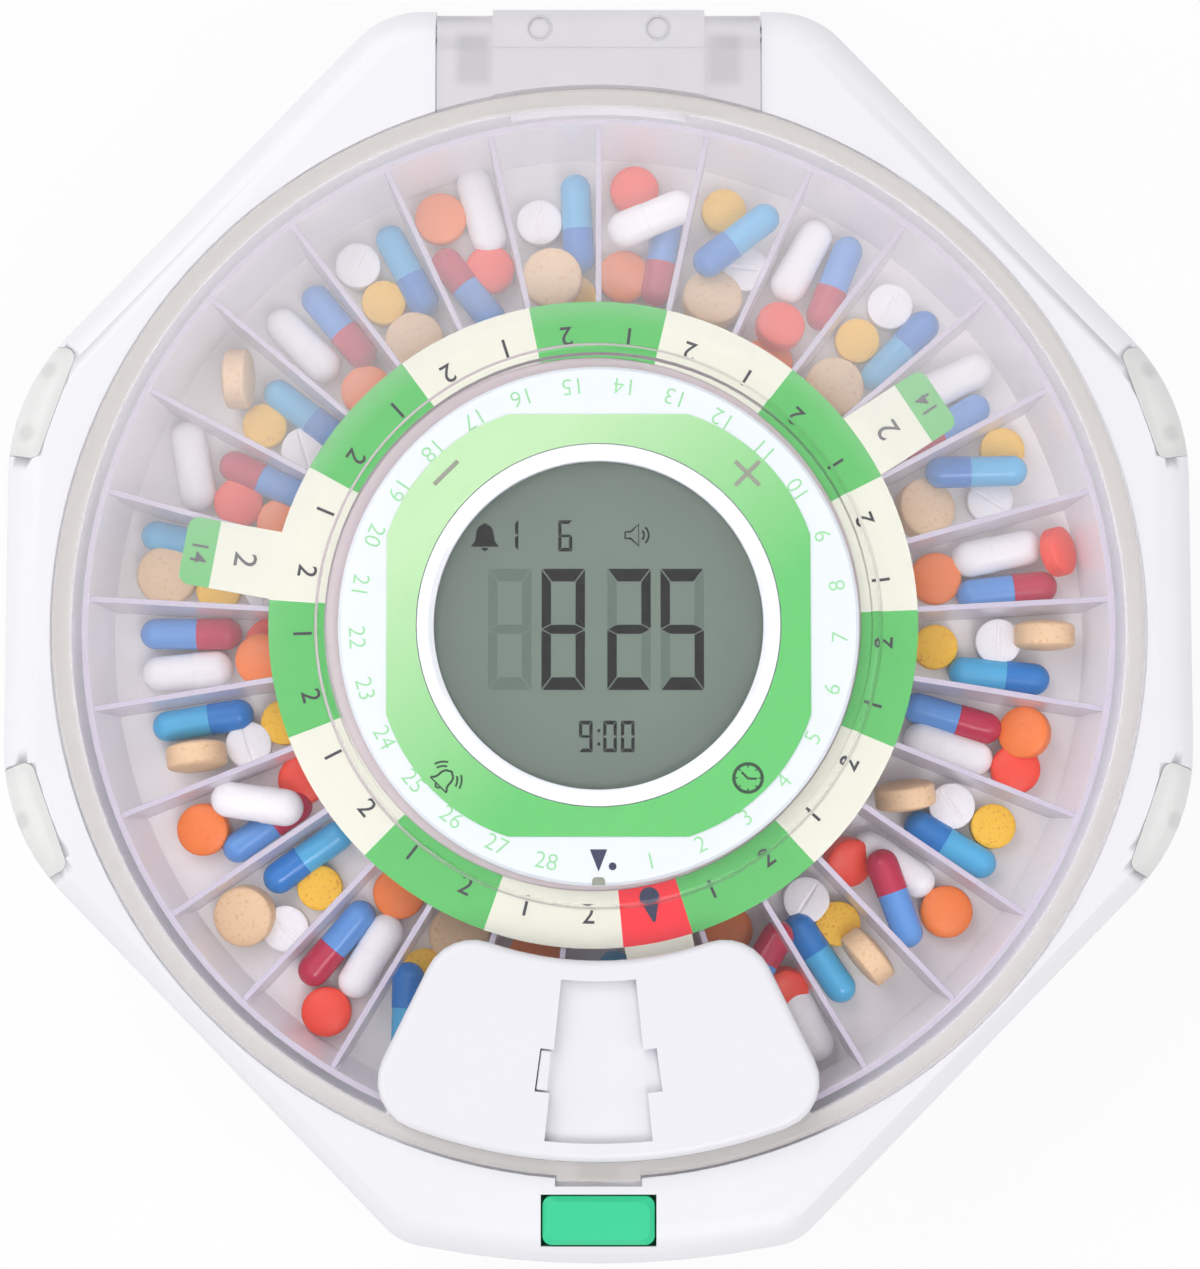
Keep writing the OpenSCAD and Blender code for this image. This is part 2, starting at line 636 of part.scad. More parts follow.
// Corner lenses and the boards behind them
module alert_lens(front, side) color("#ecedeb") mirror([side < 0 ? 1 : 0, 0, 0]) difference() {
    intersection() {
        upper_form(0);
        lens_prism(front, lens_gap, lens_z + 0.05, top_z + 1);
    }
    intersection() {
        upper_form(wall);
        lens_prism(front, lens_wall + lens_gap, lens_z - 1, top_z);
    }
}
module alert_lens_front_left() alert_lens(true, -1);
module alert_lens_front_right() alert_lens(true, 1);
module alert_lens_rear_left() alert_lens(false, -1);
module alert_lens_rear_right() alert_lens(false, 1);

function lens_mid(pts) = (pts[0] + pts[1]) / 2;
function lens_dir(pts) = let (d = pts[1] - pts[0]) atan2(d[1], d[0]);
led_inset = 2.6;
module light_board(pts) translate([lens_mid(pts)[0], lens_mid(pts)[1], lens_z + 0.05]) rotate(lens_dir(pts)) {
    out = pts[0][1] > 0 ? 1 : -1;
    translate([-6, out * led_inset - 0.5, 0]) cube([12, 1, 5]);
    for (x = [-3.5, 3.5])
        translate([x - 1, out > 0 ? led_inset + 0.4 : -led_inset - 1.2, 2]) cube([2, 0.8, 2]);
}
module alert_light_boards() color("#2e7d46") for (s = [0, 1]) mirror([s, 0, 0]) {
    light_board(lens_rear);
    light_board(lens_front);
}

// Hub
board_t = 1.6;
shelf_t = 2;
shelf_r = 39.5;
board_screw_d = 41.6;
board_z = column_top - 5;
board_top = board_z + board_t;
board_r = hub_r - wall - 0.3;
keys = [[-key_at, key_at], [key_at, key_at], [-key_at, -key_at], [key_at, -key_at]];
switch_h = 1.5;
glass_t = 1.8;
glass_z = column_top - 0.1 - glass_t;

module main_board() color("#1f6b43") difference() {
    peg([0, 0], board_r, board_z + 0.02, board_top);
    for (a = [0:90:270]) rotate(a) peg([board_screw_d, 0], 1.15, board_z - 1, board_top + 1);
}
module board_screws() color("silver") for (a = [0:90:270]) rotate(a) {
    peg([board_screw_d, 0], 1.8, board_top + 0.02, board_top + 1.2);
    peg([board_screw_d, 0], 0.9, board_z - shelf_t + 0.2, board_top + 0.5);
}
module tact_switches() color("#404044") for (p = keys) {
    block(p[0] - 3, p[0] + 3, p[1] - 3, p[1] + 3, board_top + 0.02, board_top + switch_h);
    peg(p, 1.6, board_top + 1, board_top + switch_h + 0.15);
}
module lcd_holder() color("#e8e8ea") peg([0, 0], bezel_r - 1, board_top + 0.02, glass_z - 0.02);
module lcd_glass() color("#839589") peg([0, 0], bezel_r - 1.3, glass_z, glass_z + glass_t);
module lcd_window() color("#dfe6e2", 0.4) peg([0, 0], lcd_r - 0.1, glass_z + glass_t + 0.05, face_z - 0.9);
module lcd_bezel() color("#f4f5f8") translate([0, 0, column_top - 0.05]) rotate_extrude() polygon([
    [lcd_r, 0], [bezel_r - 0.1, 0], [bezel_r - 0.1, face_t + 0.25], [bezel_r - 0.5, face_t + 0.45],
    [lcd_r + 1, face_t + 0.45], [lcd_r, face_t - 0.3]]);
module hub_cover() color("#e4ebf0") difference() {
    rotate_extrude() polygon([
        [bezel_r, column_top], [hub_r - wall - 1.2, column_top], [hub_r - wall - 1.2, column_top - 1.4],
        [hub_r - wall - 0.2, column_top - 1.4], [hub_r - wall - 0.2, column_top],
        [face_r, column_top], [face_r, face_z - 0.6], [face_r - 0.6, face_z], [bezel_r, face_z]]);
    for (p = keys) peg(p, key_r + 0.3, column_top - 3, face_z + 1);
}
label_arc_r = 35;
label_arc_at = 5.64;
label_t = 0.25;
function label_corner(i) = let (
        a0 = acos((label_half - label_arc_at) / label_arc_r),
        c = label_arc_at * [1, 1],
        r = label_arc_r)
    [for (j = [0:12]) let (t = a0 + (90 - 2 * a0) * j / 12, p = c + r * [cos(t), sin(t)],
        q = i * 90) [p[0] * cos(q) - p[1] * sin(q), p[0] * sin(q) + p[1] * cos(q)]];
module control_label() color("#5fc968") translate([0, 0, face_z]) difference() {
    linear_extrude(label_t) polygon([for (i = [0:3]) each label_corner(i)]);
    translate([0, 0, -1]) cylinder(r = bezel_r + 0.05, h = 3);
}
module key(p) color("#d8dadc") {
    peg(p, key_r, board_top + switch_h + 0.15 + key_travel + 0.1, face_z - 0.3);
    peg(p, key_r + 0.35, board_top + switch_h + 0.15 + key_travel + 0.1, column_top - 0.3);
}
module key_minus() key(keys[0]);
module key_plus() key(keys[1]);
module key_alarm() key(keys[2]);
module key_clock() key(keys[3]);

// Drive
module motor() color("#b9bcc2") at_motor() difference() {
    union() {
        peg([0, 0], motor_d / 2, bracket_z - motor_h, bracket_z - 0.02);
        peg([0, 0], 3.4, bracket_z - 0.5, bracket_z + bracket_t - 0.1);
    }
    peg([0, 0], motor_shaft_r + run_gap, bracket_z - 5, bracket_z + 5);
    for (s = [-1, 1]) peg([0, s * 8], 0.75, bracket_z - 3, bracket_z + 1);
}
module motor_bracket() color("#9a9da3") difference() {
    union() {
        at_motor() {
            peg([0, 0], 11, bracket_z, bracket_z + bracket_t);
            block(-4, 4, -ear_at, ear_at, bracket_z, bracket_z + bracket_t);
            for (s = [-1, 1]) peg([0, s * ear_at], 4, bracket_z, bracket_z + bracket_t);
        }
        rotate(gear_a) block(gear_d, motor_at_d, -4, 4, bracket_z, bracket_z + bracket_t);
        at_gear() peg([0, 0], 4, bracket_z, bracket_z + bracket_t);
        at_gear() peg([0, 0], gear_stub_r + 1.4, bracket_z - 0.6, bracket_z + 0.1);
    }
    at_motor() peg([0, 0], 3.6, bracket_z - 1, bracket_z + 2);
    at_motor() for (s = [-1, 1]) peg([0, s * ear_at], 1, bracket_z - 1, bracket_z + 2);
    at_motor() for (s = [-1, 1]) peg([0, s * 8], 0.9, bracket_z - 1, bracket_z + 2);
    at_gear() peg([0, 0], gear_stub_r + run_gap, bracket_z - 1, bracket_z + 2);
}
module gearbox_screws() color("silver") at_motor() for (s = [-1, 1]) {
    peg([0, s * ear_at], 1.7, bracket_z - 1.4, bracket_z - 0.02);
    peg([0, s * ear_at], 0.8, bracket_z - 0.5, bracket_z + 3.6);
    peg([0, s * 8], 1.4, bracket_z + bracket_t + 0.02, bracket_z + bracket_t + 0.25);
    peg([0, s * 8], 0.7, bracket_z - 2.5, bracket_z + bracket_t + 0.1);
}
// The pair meshes with a tooth of the larger gear between two teeth of the smaller
module motor_pinion() color("#c9a24a") at_motor() {
    rotate(180 / motor_teeth) gear_disc(fine_m, motor_teeth, wheel_z - 0.1, wheel_z + wheel_t);
    peg([0, 0], motor_shaft_r, bracket_z - 4.5, wheel_z + wheel_t + 0.3);
}
module reduction_gear() color("#e6e2d6") at_gear() {
    gear_disc(fine_m, wheel_teeth, wheel_z, wheel_z + wheel_t);
    peg([0, 0], gear_hub_r, wheel_z + wheel_t - 0.5, table_z + table_t - 0.1);
    peg([0, 0], gear_stub_r, bracket_z - 0.5, wheel_z + 0.5);
}
module drive_pinion() color("#e6e2d6") at_gear() difference() {
    rotate(180 + 180 / pinion_teeth) gear_disc(ring_m, pinion_teeth, table_z, table_z + table_t - 0.2);
    peg([0, 0], gear_hub_r + 0.02, table_z - 1, tray_z + 1);
}
key_slots = [60, 180, 300];
slot_l = 5;
slot_r0 = tray_bore + 0.4;
slot_r1 = slot_r0 + 2.4;
magnet_at = 54;
module turntable() color("#dcdce2") difference() {
    gear_disc(ring_m, ring_teeth, table_z, table_z + table_t - 0.02);
    peg([0, 0], hub_r + run_gap + 0.03, table_z - 1, tray_z + 1);
    for (a = key_slots) rotate(a) block(slot_r0 - 0.2, slot_r1 + 0.2, -slot_l / 2 - 0.2, slot_l / 2 + 0.2,
                                        table_z - 1, tray_z + 1);
    rotate(-90) peg([magnet_at, 0], 1.55, table_z - 1, table_z + 1.3);
}
module home_magnet() color("#8a8d92") rotate(-90) peg([magnet_at, 0], 1.5, table_z + 0.02, table_z + 1.25);
module home_sensor() color("#1f6b43") rotate(-90) {
    block(magnet_at - 5, magnet_at + 5, -4, 4, deck_z - 1.25, deck_z - 0.05);
    block(magnet_at - 1.5, magnet_at + 1.5, -2, 2, deck_z - 2.2, deck_z - 1.2);
}

// Tray: floor, outer and inner wall and dividers, with three keys that enter the turntable
tray_floor_r = tray_r - tray_draft;
wall_gap = 0.05;
function tray_edge(z) = tray_floor_r + tray_draft * (z - tray_z) / (tray_top - tray_z);
module pill_tray() color("#e3dfe8", 0.6) {
    rotate_extrude() polygon([[tray_bore, tray_z], [tray_floor_r, tray_z], [tray_edge(cup_z), cup_z],
                              [tray_bore, cup_z]]);
    for (a = key_slots) rotate(a)
        block(slot_r0, slot_r1, -slot_l / 2, slot_l / 2, table_z + seat_gap, tray_z + 0.3);
}
module tray_outer_wall() color("#e3dfe8", 0.6) rotate_extrude() polygon([
    [tray_edge(cup_z) - tray_t, cup_z], [tray_edge(cup_z), cup_z], [tray_r, tray_top],
    [tray_r - tray_t, tray_top]]);
module tray_inner_wall() color("#e3dfe8", 0.6) ring(tray_bore, tray_bore + tray_t, cup_z, tray_top);
module tray_dividers() color("#e3dfe8", 0.6) intersection() {
    rotate_extrude() polygon([
        [tray_bore + tray_t + wall_gap, cup_z], [tray_edge(cup_z) - tray_t - wall_gap, cup_z],
        [tray_r - tray_t - wall_gap, tray_top], [tray_bore + tray_t + wall_gap, tray_top]]);
    for (k = [0:positions - 1]) rotate((k + 0.5) * pitch)
        block(-divider_t / 2, divider_t / 2, -tray_r, -tray_bore, cup_z - 1, tray_top + 1);
}

tab_w = 12.6;
tab_corner = 2;
module tab_outline() {
    polygon(rounded([[-tab_w / 2, -tab_reach], [tab_w / 2, -tab_reach], [tab_w / 2, 4 - card_r],
                     [-tab_w / 2, 4 - card_r]], [tab_corner, tab_corner, 0.6, 0.6], 0, 5));
}
module dosage_ring() color("#f0f2e6") translate([0, 0, tray_top]) difference() {
    linear_extrude(card_t) union() {
        circle(r = card_r);
        for (k = [1, 10, 21]) rotate(k * pitch) tab_outline();
    }
    translate([0, 0, -1]) cylinder(r = tray_bore + tray_t, h = card_t + 2);
}

// Lid
lid_inner = lid_r - skirt_t;
dome_side = dome_r - 0.1;
module window_wedge(half, r0, r1, z0, z1) translate([0, 0, z0]) linear_extrude(z1 - z0)
    polygon(concat([at(r0, -half), at(r1, -half)], arc(r1, -half, half, 8), [at(r1, half), at(r0, half)],
                   arc(r0, half, -half, 6)));
module lid() color("#e9e6f2", 0.4) difference() {
    union() {
        rotate_extrude() polygon([
            [dome_r - lid_t, dome_top - lid_t], [dome_r - lid_t, lid_z], [lid_inner, lid_z],
            [lid_inner, skirt_z], [lid_r, skirt_z], [lid_r, rim_top - 1],
            [lid_r - 0.3, rim_top - 0.4], [lid_r - 1, rim_top], [lid_r - 2.6, rim_top],
            [lid_r - 4, lid_top], [dome_r + 0.3, lid_top], [dome_r, lid_top + 0.3],
            [dome_side, dome_top - lid_t]]);
        block(-tongue_half, tongue_half, -lid_r - tongue_reach, -lid_r + 2, rim_top - tongue_t, rim_top);
        block(-leaf_half, leaf_half, lid_inner - 2, leaf_y, leaf_z, leaf_z + leaf_t);
    }
    window_wedge(window_half, window_in, window_out, lid_z - 1, lid_top + 1);
    // the rim is cut level where the window cover stands on it
    translate([0, 0, lid_top]) linear_extrude(5)
        polygon(sector_points(cover_in, cover_out, cover_half, cover_corner, -slip));
    block(-leaf_half - 1, leaf_half + 1, lid_inner - 8, lid_inner - 0.05, leaf_z - 1, lid_z - 0.02);
    for (s = [-1, 1]) peg([s * bracket_screw_x, bracket_screw_y], 1.15, leaf_z - 1, leaf_z + leaf_t + 1);
}

// Top of the lid's raised middle
module lid_dome() color("#e9e6f2", 0.4) rotate_extrude() polygon([
    [0, dome_top - lid_t], [dome_side, dome_top - lid_t], [dome_side - 0.1, dome_top - 0.6],
    [dome_side - 0.7, dome_top], [0, dome_top]]);

bracket_front = lid_r + 0.25;
bracket_z0 = leaf_z + leaf_t + 0.05;
bracket_z1 = rim_top - 0.1;
module hinge_bracket() color("#d9dade", 0.8) difference() {
    union() {
        difference() {
            block(-bracket_half, bracket_half, bracket_front - 6, hinge_y, bracket_z0, bracket_z1);
            peg([0, 0], bracket_front, 0, rim_top + 5);
        }
        translate([-bracket_half, hinge_y, hinge_z]) rotate([0, 90, 0])
            cylinder(r = barrel_r, h = 2 * bracket_half);
        block(-bracket_half, bracket_half, hinge_y - barrel_r, hinge_y, hinge_z, bracket_z1);
        difference() {
            block(-panel_half, panel_half, bracket_front - 2, hinge_y + barrel_r, bracket_z1 - 0.5,
                  bracket_z1 + panel_rise);
            peg([0, 0], bracket_front, 0, rim_top + 5);
            block(-panel_half - 1, panel_half + 1, hinge_y - 4, hinge_y - 3.6, bracket_z1 + panel_rise - 0.3,
                  rim_top + 5);
        }
        block(-panel_half, panel_half, hinge_y, hinge_y + barrel_r, hinge_z, bracket_z1);
    }
    for (s = [-1, 1]) {
        translate([s < 0 ? -bracket_half - 1 : bracket_half - pin_reach, hinge_y, hinge_z]) rotate([0, 90, 0])
            cylinder(r = hinge_pin_r + run_gap, h = pin_reach + 1);
        peg([s * bracket_screw_x, hinge_y], 2.2, bracket_z1 + panel_rise - 0.4, rim_top + 5);
        peg([s * bracket_screw_x, bracket_screw_y], 0.95, leaf_z, bracket_z1 - 0.7);
    }
}
module hinge_pins() color("silver") for (s = [-1, 1])
    translate([s < 0 ? -notch_half - pin_seat : bracket_half - pin_reach + 0.4, hinge_y, hinge_z])
        rotate([0, 90, 0])
            cylinder(r = hinge_pin_r, h = notch_half + pin_seat - bracket_half + pin_reach - 0.4);
module bracket_screws() color("silver") for (s = [-1, 1]) {
    peg([s * bracket_screw_x, bracket_screw_y], 1.9, leaf_z - 1.1, leaf_z - 0.02);
    peg([s * bracket_screw_x, bracket_screw_y], 0.9, leaf_z - 0.5, bracket_z1 - 1);
}

// Window cover, with a cavity for the shutter and an opening with two finger ears
cover_corner = 9;
cover_edge = 1.6;
cover_top = lid_top + cover_h;
cover_roof = 1.7;
cover_wall = 1.5;
ear_in = (window_in + window_out) / 2 - 1.85;
ear_out = ear_in + 7.8;
lug_w = 1.55;
ear_half = (shutter_swing + lug_w + 0.35) / 2;
module cover_cavity() translate([0, 0, lid_top - 1]) linear_extrude(1 + cover_h - cover_roof)
    polygon(sector_points(cover_in, cover_out, cover_half, cover_corner, cover_wall));
module window_cover() color("#f3f2f8") difference() {
    skin(concat([lift(sector_points(cover_in, cover_out, cover_half, cover_corner, 0), lid_top + 0.02)],
        [for (a = [0:22.5:90]) lift(
            sector_points(cover_in, cover_out, cover_half, cover_corner, cover_edge * (1 - cos(a))),
            cover_top - cover_edge * (1 - sin(a)))]));
    cover_cavity();
    window_wedge(window_half, window_in, window_out, lid_top - 2, cover_top + 1);
    window_wedge(ear_half, ear_in, ear_out, cover_top - cover_roof - 1, cover_top + 1);
}

shutter_in = window_in - 1.1;
shutter_out = window_out + 1;
shutter_half = 7.9;
lug_z = cover_top - 0.3;
shutter_z = lid_top + slip;
module shutter() color("#eceaf2") {
    translate([0, 0, shutter_z]) linear_extrude(shutter_t)
        polygon(sector_points(shutter_in, shutter_out, shutter_half, 1.5, 0));
    translate([0, 0, shutter_z + shutter_t - 0.2]) linear_extrude(lug_z - shutter_z - shutter_t + 0.2)
        polygon(concat([at(ear_in + 0.35, -ear_half + 0.15)], [at(ear_out - 0.35, -ear_half + 0.15)],
                       [at(ear_out - 0.35, -ear_half + lug_w)], [at(ear_in + 0.35, -ear_half + lug_w)]));
}

// Press button: a hollow cap with a flange, and a wedge that pushes the latch slider forward
module press_button() color("#3ddca0") {
    difference() {
        hull() {
            block(-press_half, press_half, -press_front, -press_rear, press_bottom, press_top - 1);
            block(-press_half + 1, press_half - 1, -press_front + 1, -press_rear - 1,
                  press_top - 0.02, press_top);
        }
        block(-press_half + press_wall, press_half - press_wall, -press_front + press_wall,
              -press_rear - press_wall, press_bottom - 1, press_top - press_wall - 0.3);
        block(-slider_half - 0.4, slider_half + 0.4, -press_rear - 3, -press_rear + 1, press_bottom - 1,
              slider_z + slider_t + press_travel + slip);
    }
    difference() {
        block(-press_half - press_flange, press_half + press_flange, -press_front - 0.5, -press_rear + 0.1,
              press_bottom, press_bottom + press_flange_t);
        block(-slider_half - 0.4, slider_half + 0.4, -press_front + press_wall, -press_rear + 2,
              press_bottom - 1, press_bottom + 5);
    }
    // wedge rib under the roof, with a 45 degree front face
    side_prism(wedge_half, [[-wedge_back, press_top - press_wall], [-wedge_back, wedge_z],
                            [-wedge_toe, wedge_z],
                            [wedge_z - wedge_toe - press_top + press_wall, press_top - press_wall]]);
}
// The slider's slot has a 45 degree front end that the wedge bears on
module latch_slider() color("#c9cbd0") difference() {
    union() {
        block(-slider_half, slider_half, -slider_end, -slider_tip, slider_z, slider_z + slider_t);
        block(-slider_half, slider_half, -slider_tip - hook_l, -slider_tip, slider_z, hook_top);
    }
    side_prism(wedge_half + 0.2, [[-slider_slot, slider_z - 1], [-slider_slot, slider_z + slider_t + 1],
                                  [-slider_ramp - 1, slider_z + slider_t + 1],
                                  [1 + slider_t - slider_ramp, slider_z - 1]]);
}
module press_springs() color("silver") for (s = [-1, 1])
    translate([s * press_spring_x, -press_y, press_floor + 0.05])
        coil(press_spring_r, press_wire / 2, press_bottom - press_floor - 0.1, 5);

base_shell();
top_housing();
tray_deck();
hub_column();
battery_door();
battery_cell_1();
battery_cell_2();
battery_cell_3();
battery_cell_4();
battery_contacts();
foot_front_left();
foot_front_right();
foot_rear_left();
foot_rear_right();
alert_lens_front_left();
alert_lens_front_right();
alert_lens_rear_left();
alert_lens_rear_right();
alert_light_boards();
housing_screws();
speaker();
main_board();
board_screws();
tact_switches();
lcd_holder();
lcd_glass();
lcd_window();
lcd_bezel();
hub_cover();
control_label();
key_minus();
key_plus();
key_alarm();
key_clock();
motor();
motor_bracket();
gearbox_screws();
motor_pinion();
reduction_gear();
drive_pinion();
turntable();
home_magnet();
home_sensor();
pill_tray();
tray_outer_wall();
tray_inner_wall();
tray_dividers();
dosage_ring();
lid();
lid_dome();
hinge_bracket();
hinge_pins();
bracket_screws();
window_cover();
shutter();
press_button();
press_springs();
latch_slider();
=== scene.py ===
"""Looks of a table-top automatic pill dispenser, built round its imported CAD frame."""

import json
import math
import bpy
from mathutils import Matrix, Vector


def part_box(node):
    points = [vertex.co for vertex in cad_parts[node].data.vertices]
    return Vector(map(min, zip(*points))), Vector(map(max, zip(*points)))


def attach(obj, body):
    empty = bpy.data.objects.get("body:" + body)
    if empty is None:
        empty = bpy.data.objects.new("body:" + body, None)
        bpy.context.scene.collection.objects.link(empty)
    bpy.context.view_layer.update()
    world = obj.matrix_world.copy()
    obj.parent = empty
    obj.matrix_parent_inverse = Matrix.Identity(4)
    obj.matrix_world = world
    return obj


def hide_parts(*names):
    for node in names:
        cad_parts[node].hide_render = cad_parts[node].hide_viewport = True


bl_info = {
    "name": "Automatic Pill Dispenser",
    "version": (1, 0, 0),
    "blender": (4, 5, 0),
    "location": "View3D > Sidebar > Dispenser",
    "description": "Builds the finishes, prints, display and load of a round pill dispenser",
    "category": "Add Mesh",
}

import bpy
from bpy.props import FloatProperty, FloatVectorProperty, IntProperty, PointerProperty
from mathutils import Matrix, Vector

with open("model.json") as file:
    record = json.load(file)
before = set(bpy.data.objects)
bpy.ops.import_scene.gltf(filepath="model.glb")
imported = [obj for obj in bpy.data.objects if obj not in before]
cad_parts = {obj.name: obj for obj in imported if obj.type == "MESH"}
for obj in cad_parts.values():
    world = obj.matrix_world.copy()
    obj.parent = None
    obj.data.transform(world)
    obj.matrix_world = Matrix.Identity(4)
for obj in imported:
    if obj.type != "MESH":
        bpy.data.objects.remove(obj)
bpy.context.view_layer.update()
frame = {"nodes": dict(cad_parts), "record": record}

MM = 0.001
# Thickness of a print in millimetres
INK = 0.03
# Tolerance for points that a cut or a copy has doubled
DOUBLES = 0.002 * MM
# Degrees between two faces that still count as one flat face
FLAT = 0.4
# The colour sockets of a Mix node, which share their names with its value sockets
COLOUR_A = 6
COLOUR_B = 7
COLOUR_RESULT = 2
POSITIONS = 29
PITCH = math.tau / POSITIONS
# The three positions whose doses have a tab on the card
TAB_POSITIONS = (1, 10, 21)
# The tabs' prints: text, distance from the axis and type size in millimetres
TAB_PRINTS = (("2", 65.6, 6.0), ("14", 74.2, 4.4))
# Middles of the clock and alarm icons, and of the bracket's right round mark, in millimetres
CLOCK_AT = (27.3, -28.2)
ALARM_AT = (-28.3, -28.5)
MARK_AT = (11.0, 111.4)
# Middles in millimetres of the two light packages behind the rear right lens
LIGHTS_AT = ((102.14, 47.71), (105.92, 35.8))
# The right rib under the bracket: its sides, its front end and its rear end, in millimetres
RIB_AT = (20.4, 26.4, 101.0, 110.4)
CARD_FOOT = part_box("dosage_ring")[0].z
CARD_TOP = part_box("dosage_ring")[1].z
FACE_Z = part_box("hub_cover")[1].z
LABEL_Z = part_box("control_label")[1].z
GLASS_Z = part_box("lcd_glass")[1].z
# Radii in millimetres between which the lid turns into its thick rim, and the rim's milkiness
RIM_BAND = (96.7, 97.3)
RIM_MILK = 0.62
# Upward share of a face's normal from which, and by which, it counts as a top face
TOP_FACE = (0.7, 0.95)
# Half the width in millimetres over which a rib's outline blurs under the bracket
BLUR = 0.9
BODIES = frame["record"]["behaviour"]["bodies"]
BODY_OF = {node: body for body, nodes in BODIES.items() for node in nodes}
SLOT_OF = {row["node"]: row["material_slot"] for row in frame["record"]["subparts"]}


def linear(code):
    """An sRGB hex value as the linear colour that a shader takes."""
    channels = [int(code[i:i + 2], 16) / 255 for i in (1, 3, 5)]
    return [c / 12.92 if c <= 0.04045 else ((c + 0.055) / 1.055) ** 2.4 for c in channels] + [1.0]


def add_node(tree, kind, inputs=None, **settings):
    """Adds a node, sets its settings, and gives each input a value or a link."""
    made = tree.nodes.new(kind)
    for key, value in settings.items():
        setattr(made, key, value)
    for key, value in (inputs or {}).items():
        if isinstance(value, bpy.types.NodeSocket):
            tree.links.new(value, made.inputs[key])
        else:
            made.inputs[key].default_value = value
    return made


def blend(tree, factor, first, second):
    """The colour output of a mix of two colours."""
    mix = add_node(tree, "ShaderNodeMix", {0: factor, COLOUR_A: first, COLOUR_B: second}, data_type="RGBA")
    return mix.outputs[COLOUR_RESULT]


def new_material(name):
    """An empty node material and its tree."""
    material = bpy.data.materials.new(name)
    material.use_nodes = True
    material.node_tree.nodes.clear()
    return material, material.node_tree


def per_mm(size):
    """Noise scale whose cells measure this many millimetres in Object coordinates."""
    return 1 / (size * MM)


def finish_material(tree, shader):
    """Ends a tree with its output."""
    add_node(tree, "ShaderNodeOutputMaterial", {"Surface": shader})


def deeper(colour, share):
    """A shade of a colour, with each channel cut to this share."""
    return [channel * share for channel in colour[:3]] + [1.0]


def object_point(tree):
    """A point's own coordinates, which stay on the piece when its body moves."""
    return add_node(tree, "ShaderNodeTexCoord").outputs["Object"]


def pattern(tree, size, detail=2.0, stretch=(1.0, 1.0, 1.0)):
    """Noise whose cells measure this many millimetres, as a value from 0 to 1."""
    placed = add_node(tree, "ShaderNodeMapping", {"Vector": object_point(tree), "Scale": stretch})
    noise = add_node(tree, "ShaderNodeTexNoise", {"Vector": placed.outputs["Vector"],
                                                  "Scale": per_mm(size), "Detail": detail})
    return noise.outputs["Fac"]


def spread(tree, value, low, high, start=0.0, end=1.0):
    """A value's range from start to end moved to the range from low to high."""
    made = add_node(tree, "ShaderNodeMapRange", {"Value": value, "From Min": start, "From Max": end,
                                                 "To Min": low, "To Max": high})
    return made.outputs["Result"]


def relief(tree, height, depth, strength=0.5):
    """The normal of a surface whose pattern is this many millimetres deep."""
    made = add_node(tree, "ShaderNodeBump", {"Height": height, "Strength": strength,
                                             "Distance": depth * MM})
    return made.outputs["Normal"]


def moulded(name, colour, share=0.94, grain=0.4, depth=0.006, rough=0.38, drift=14, ior=1.53, **sockets):
    """Moulded plastic: fine texture of the mould, slow drift of tone, and uneven gloss.

    The texture is drawn coarser than the real one, so that it shows.
    """
    material, tree = new_material(name)
    fine = pattern(tree, grain)
    tone = blend(tree, pattern(tree, drift), colour, deeper(colour, share))
    shader = add_node(tree, "ShaderNodeBsdfPrincipled", {
        "Base Color": tone, "Roughness": spread(tree, fine, rough - 0.06, rough + 0.06),
        "Normal": relief(tree, fine, depth), "IOR": ior, **sockets})
    finish_material(tree, shader.outputs["BSDF"])
    return material


def from_axis(tree):
    """A point's distance from the tray's axis."""
    flat = add_node(tree, "ShaderNodeVectorMath", {0: object_point(tree), 1: (1.0, 1.0, 0.0)},
                    operation="MULTIPLY")
    return add_node(tree, "ShaderNodeVectorMath", {0: flat.outputs["Vector"]},
                    operation="LENGTH").outputs["Value"]


def along(tree, direction):
    """How far a point lies along a direction."""
    return add_node(tree, "ShaderNodeVectorMath", {0: object_point(tree), 1: direction},
                    operation="DOT_PRODUCT").outputs["Value"]


def band(tree, start, end):
    """How far a point lies past a radius: 0 before the start and 1 after the end."""
    return spread(tree, from_axis(tree), 0.0, 1.0, start * MM, end * MM)


def ribs(tree, inner, outer, start, end):
    """Where the two ribs under the bracket show through it; the sizes are in millimetres."""
    folded = add_node(tree, "ShaderNodeVectorMath", {0: object_point(tree)}, operation="ABSOLUTE")
    parts = add_node(tree, "ShaderNodeSeparateXYZ", {"Vector": folded.outputs["Vector"]})
    total = 1.0
    for socket, low, high in (("X", inner, outer), ("Y", start, end)):
        for near, edge in ((0.0, low), (1.0, high)):
            part = spread(tree, parts.outputs[socket], near, 1.0 - near, (edge - BLUR) * MM,
                          (edge + BLUR) * MM)
            total = add_node(tree, "ShaderNodeMath", {0: part, 1: total},
                             operation="MULTIPLY").outputs["Value"]
    return total


def veil(tree, most):
    """Painted reflection of the overhead softbox on the lid over the tray, drawn as a milky haze: none over
    the hub, and rising towards the hinge.
    """
    rearward = spread(tree, along(tree, (-0.1, 0.99, 0.0)), 0.0, most, -12 * MM, 42 * MM)
    outside = spread(tree, from_axis(tree), 0.03, 1.0, 56 * MM, 64 * MM)
    return add_node(tree, "ShaderNodeMath", {0: rearward, 1: outside}, operation="MULTIPLY").outputs["Value"]


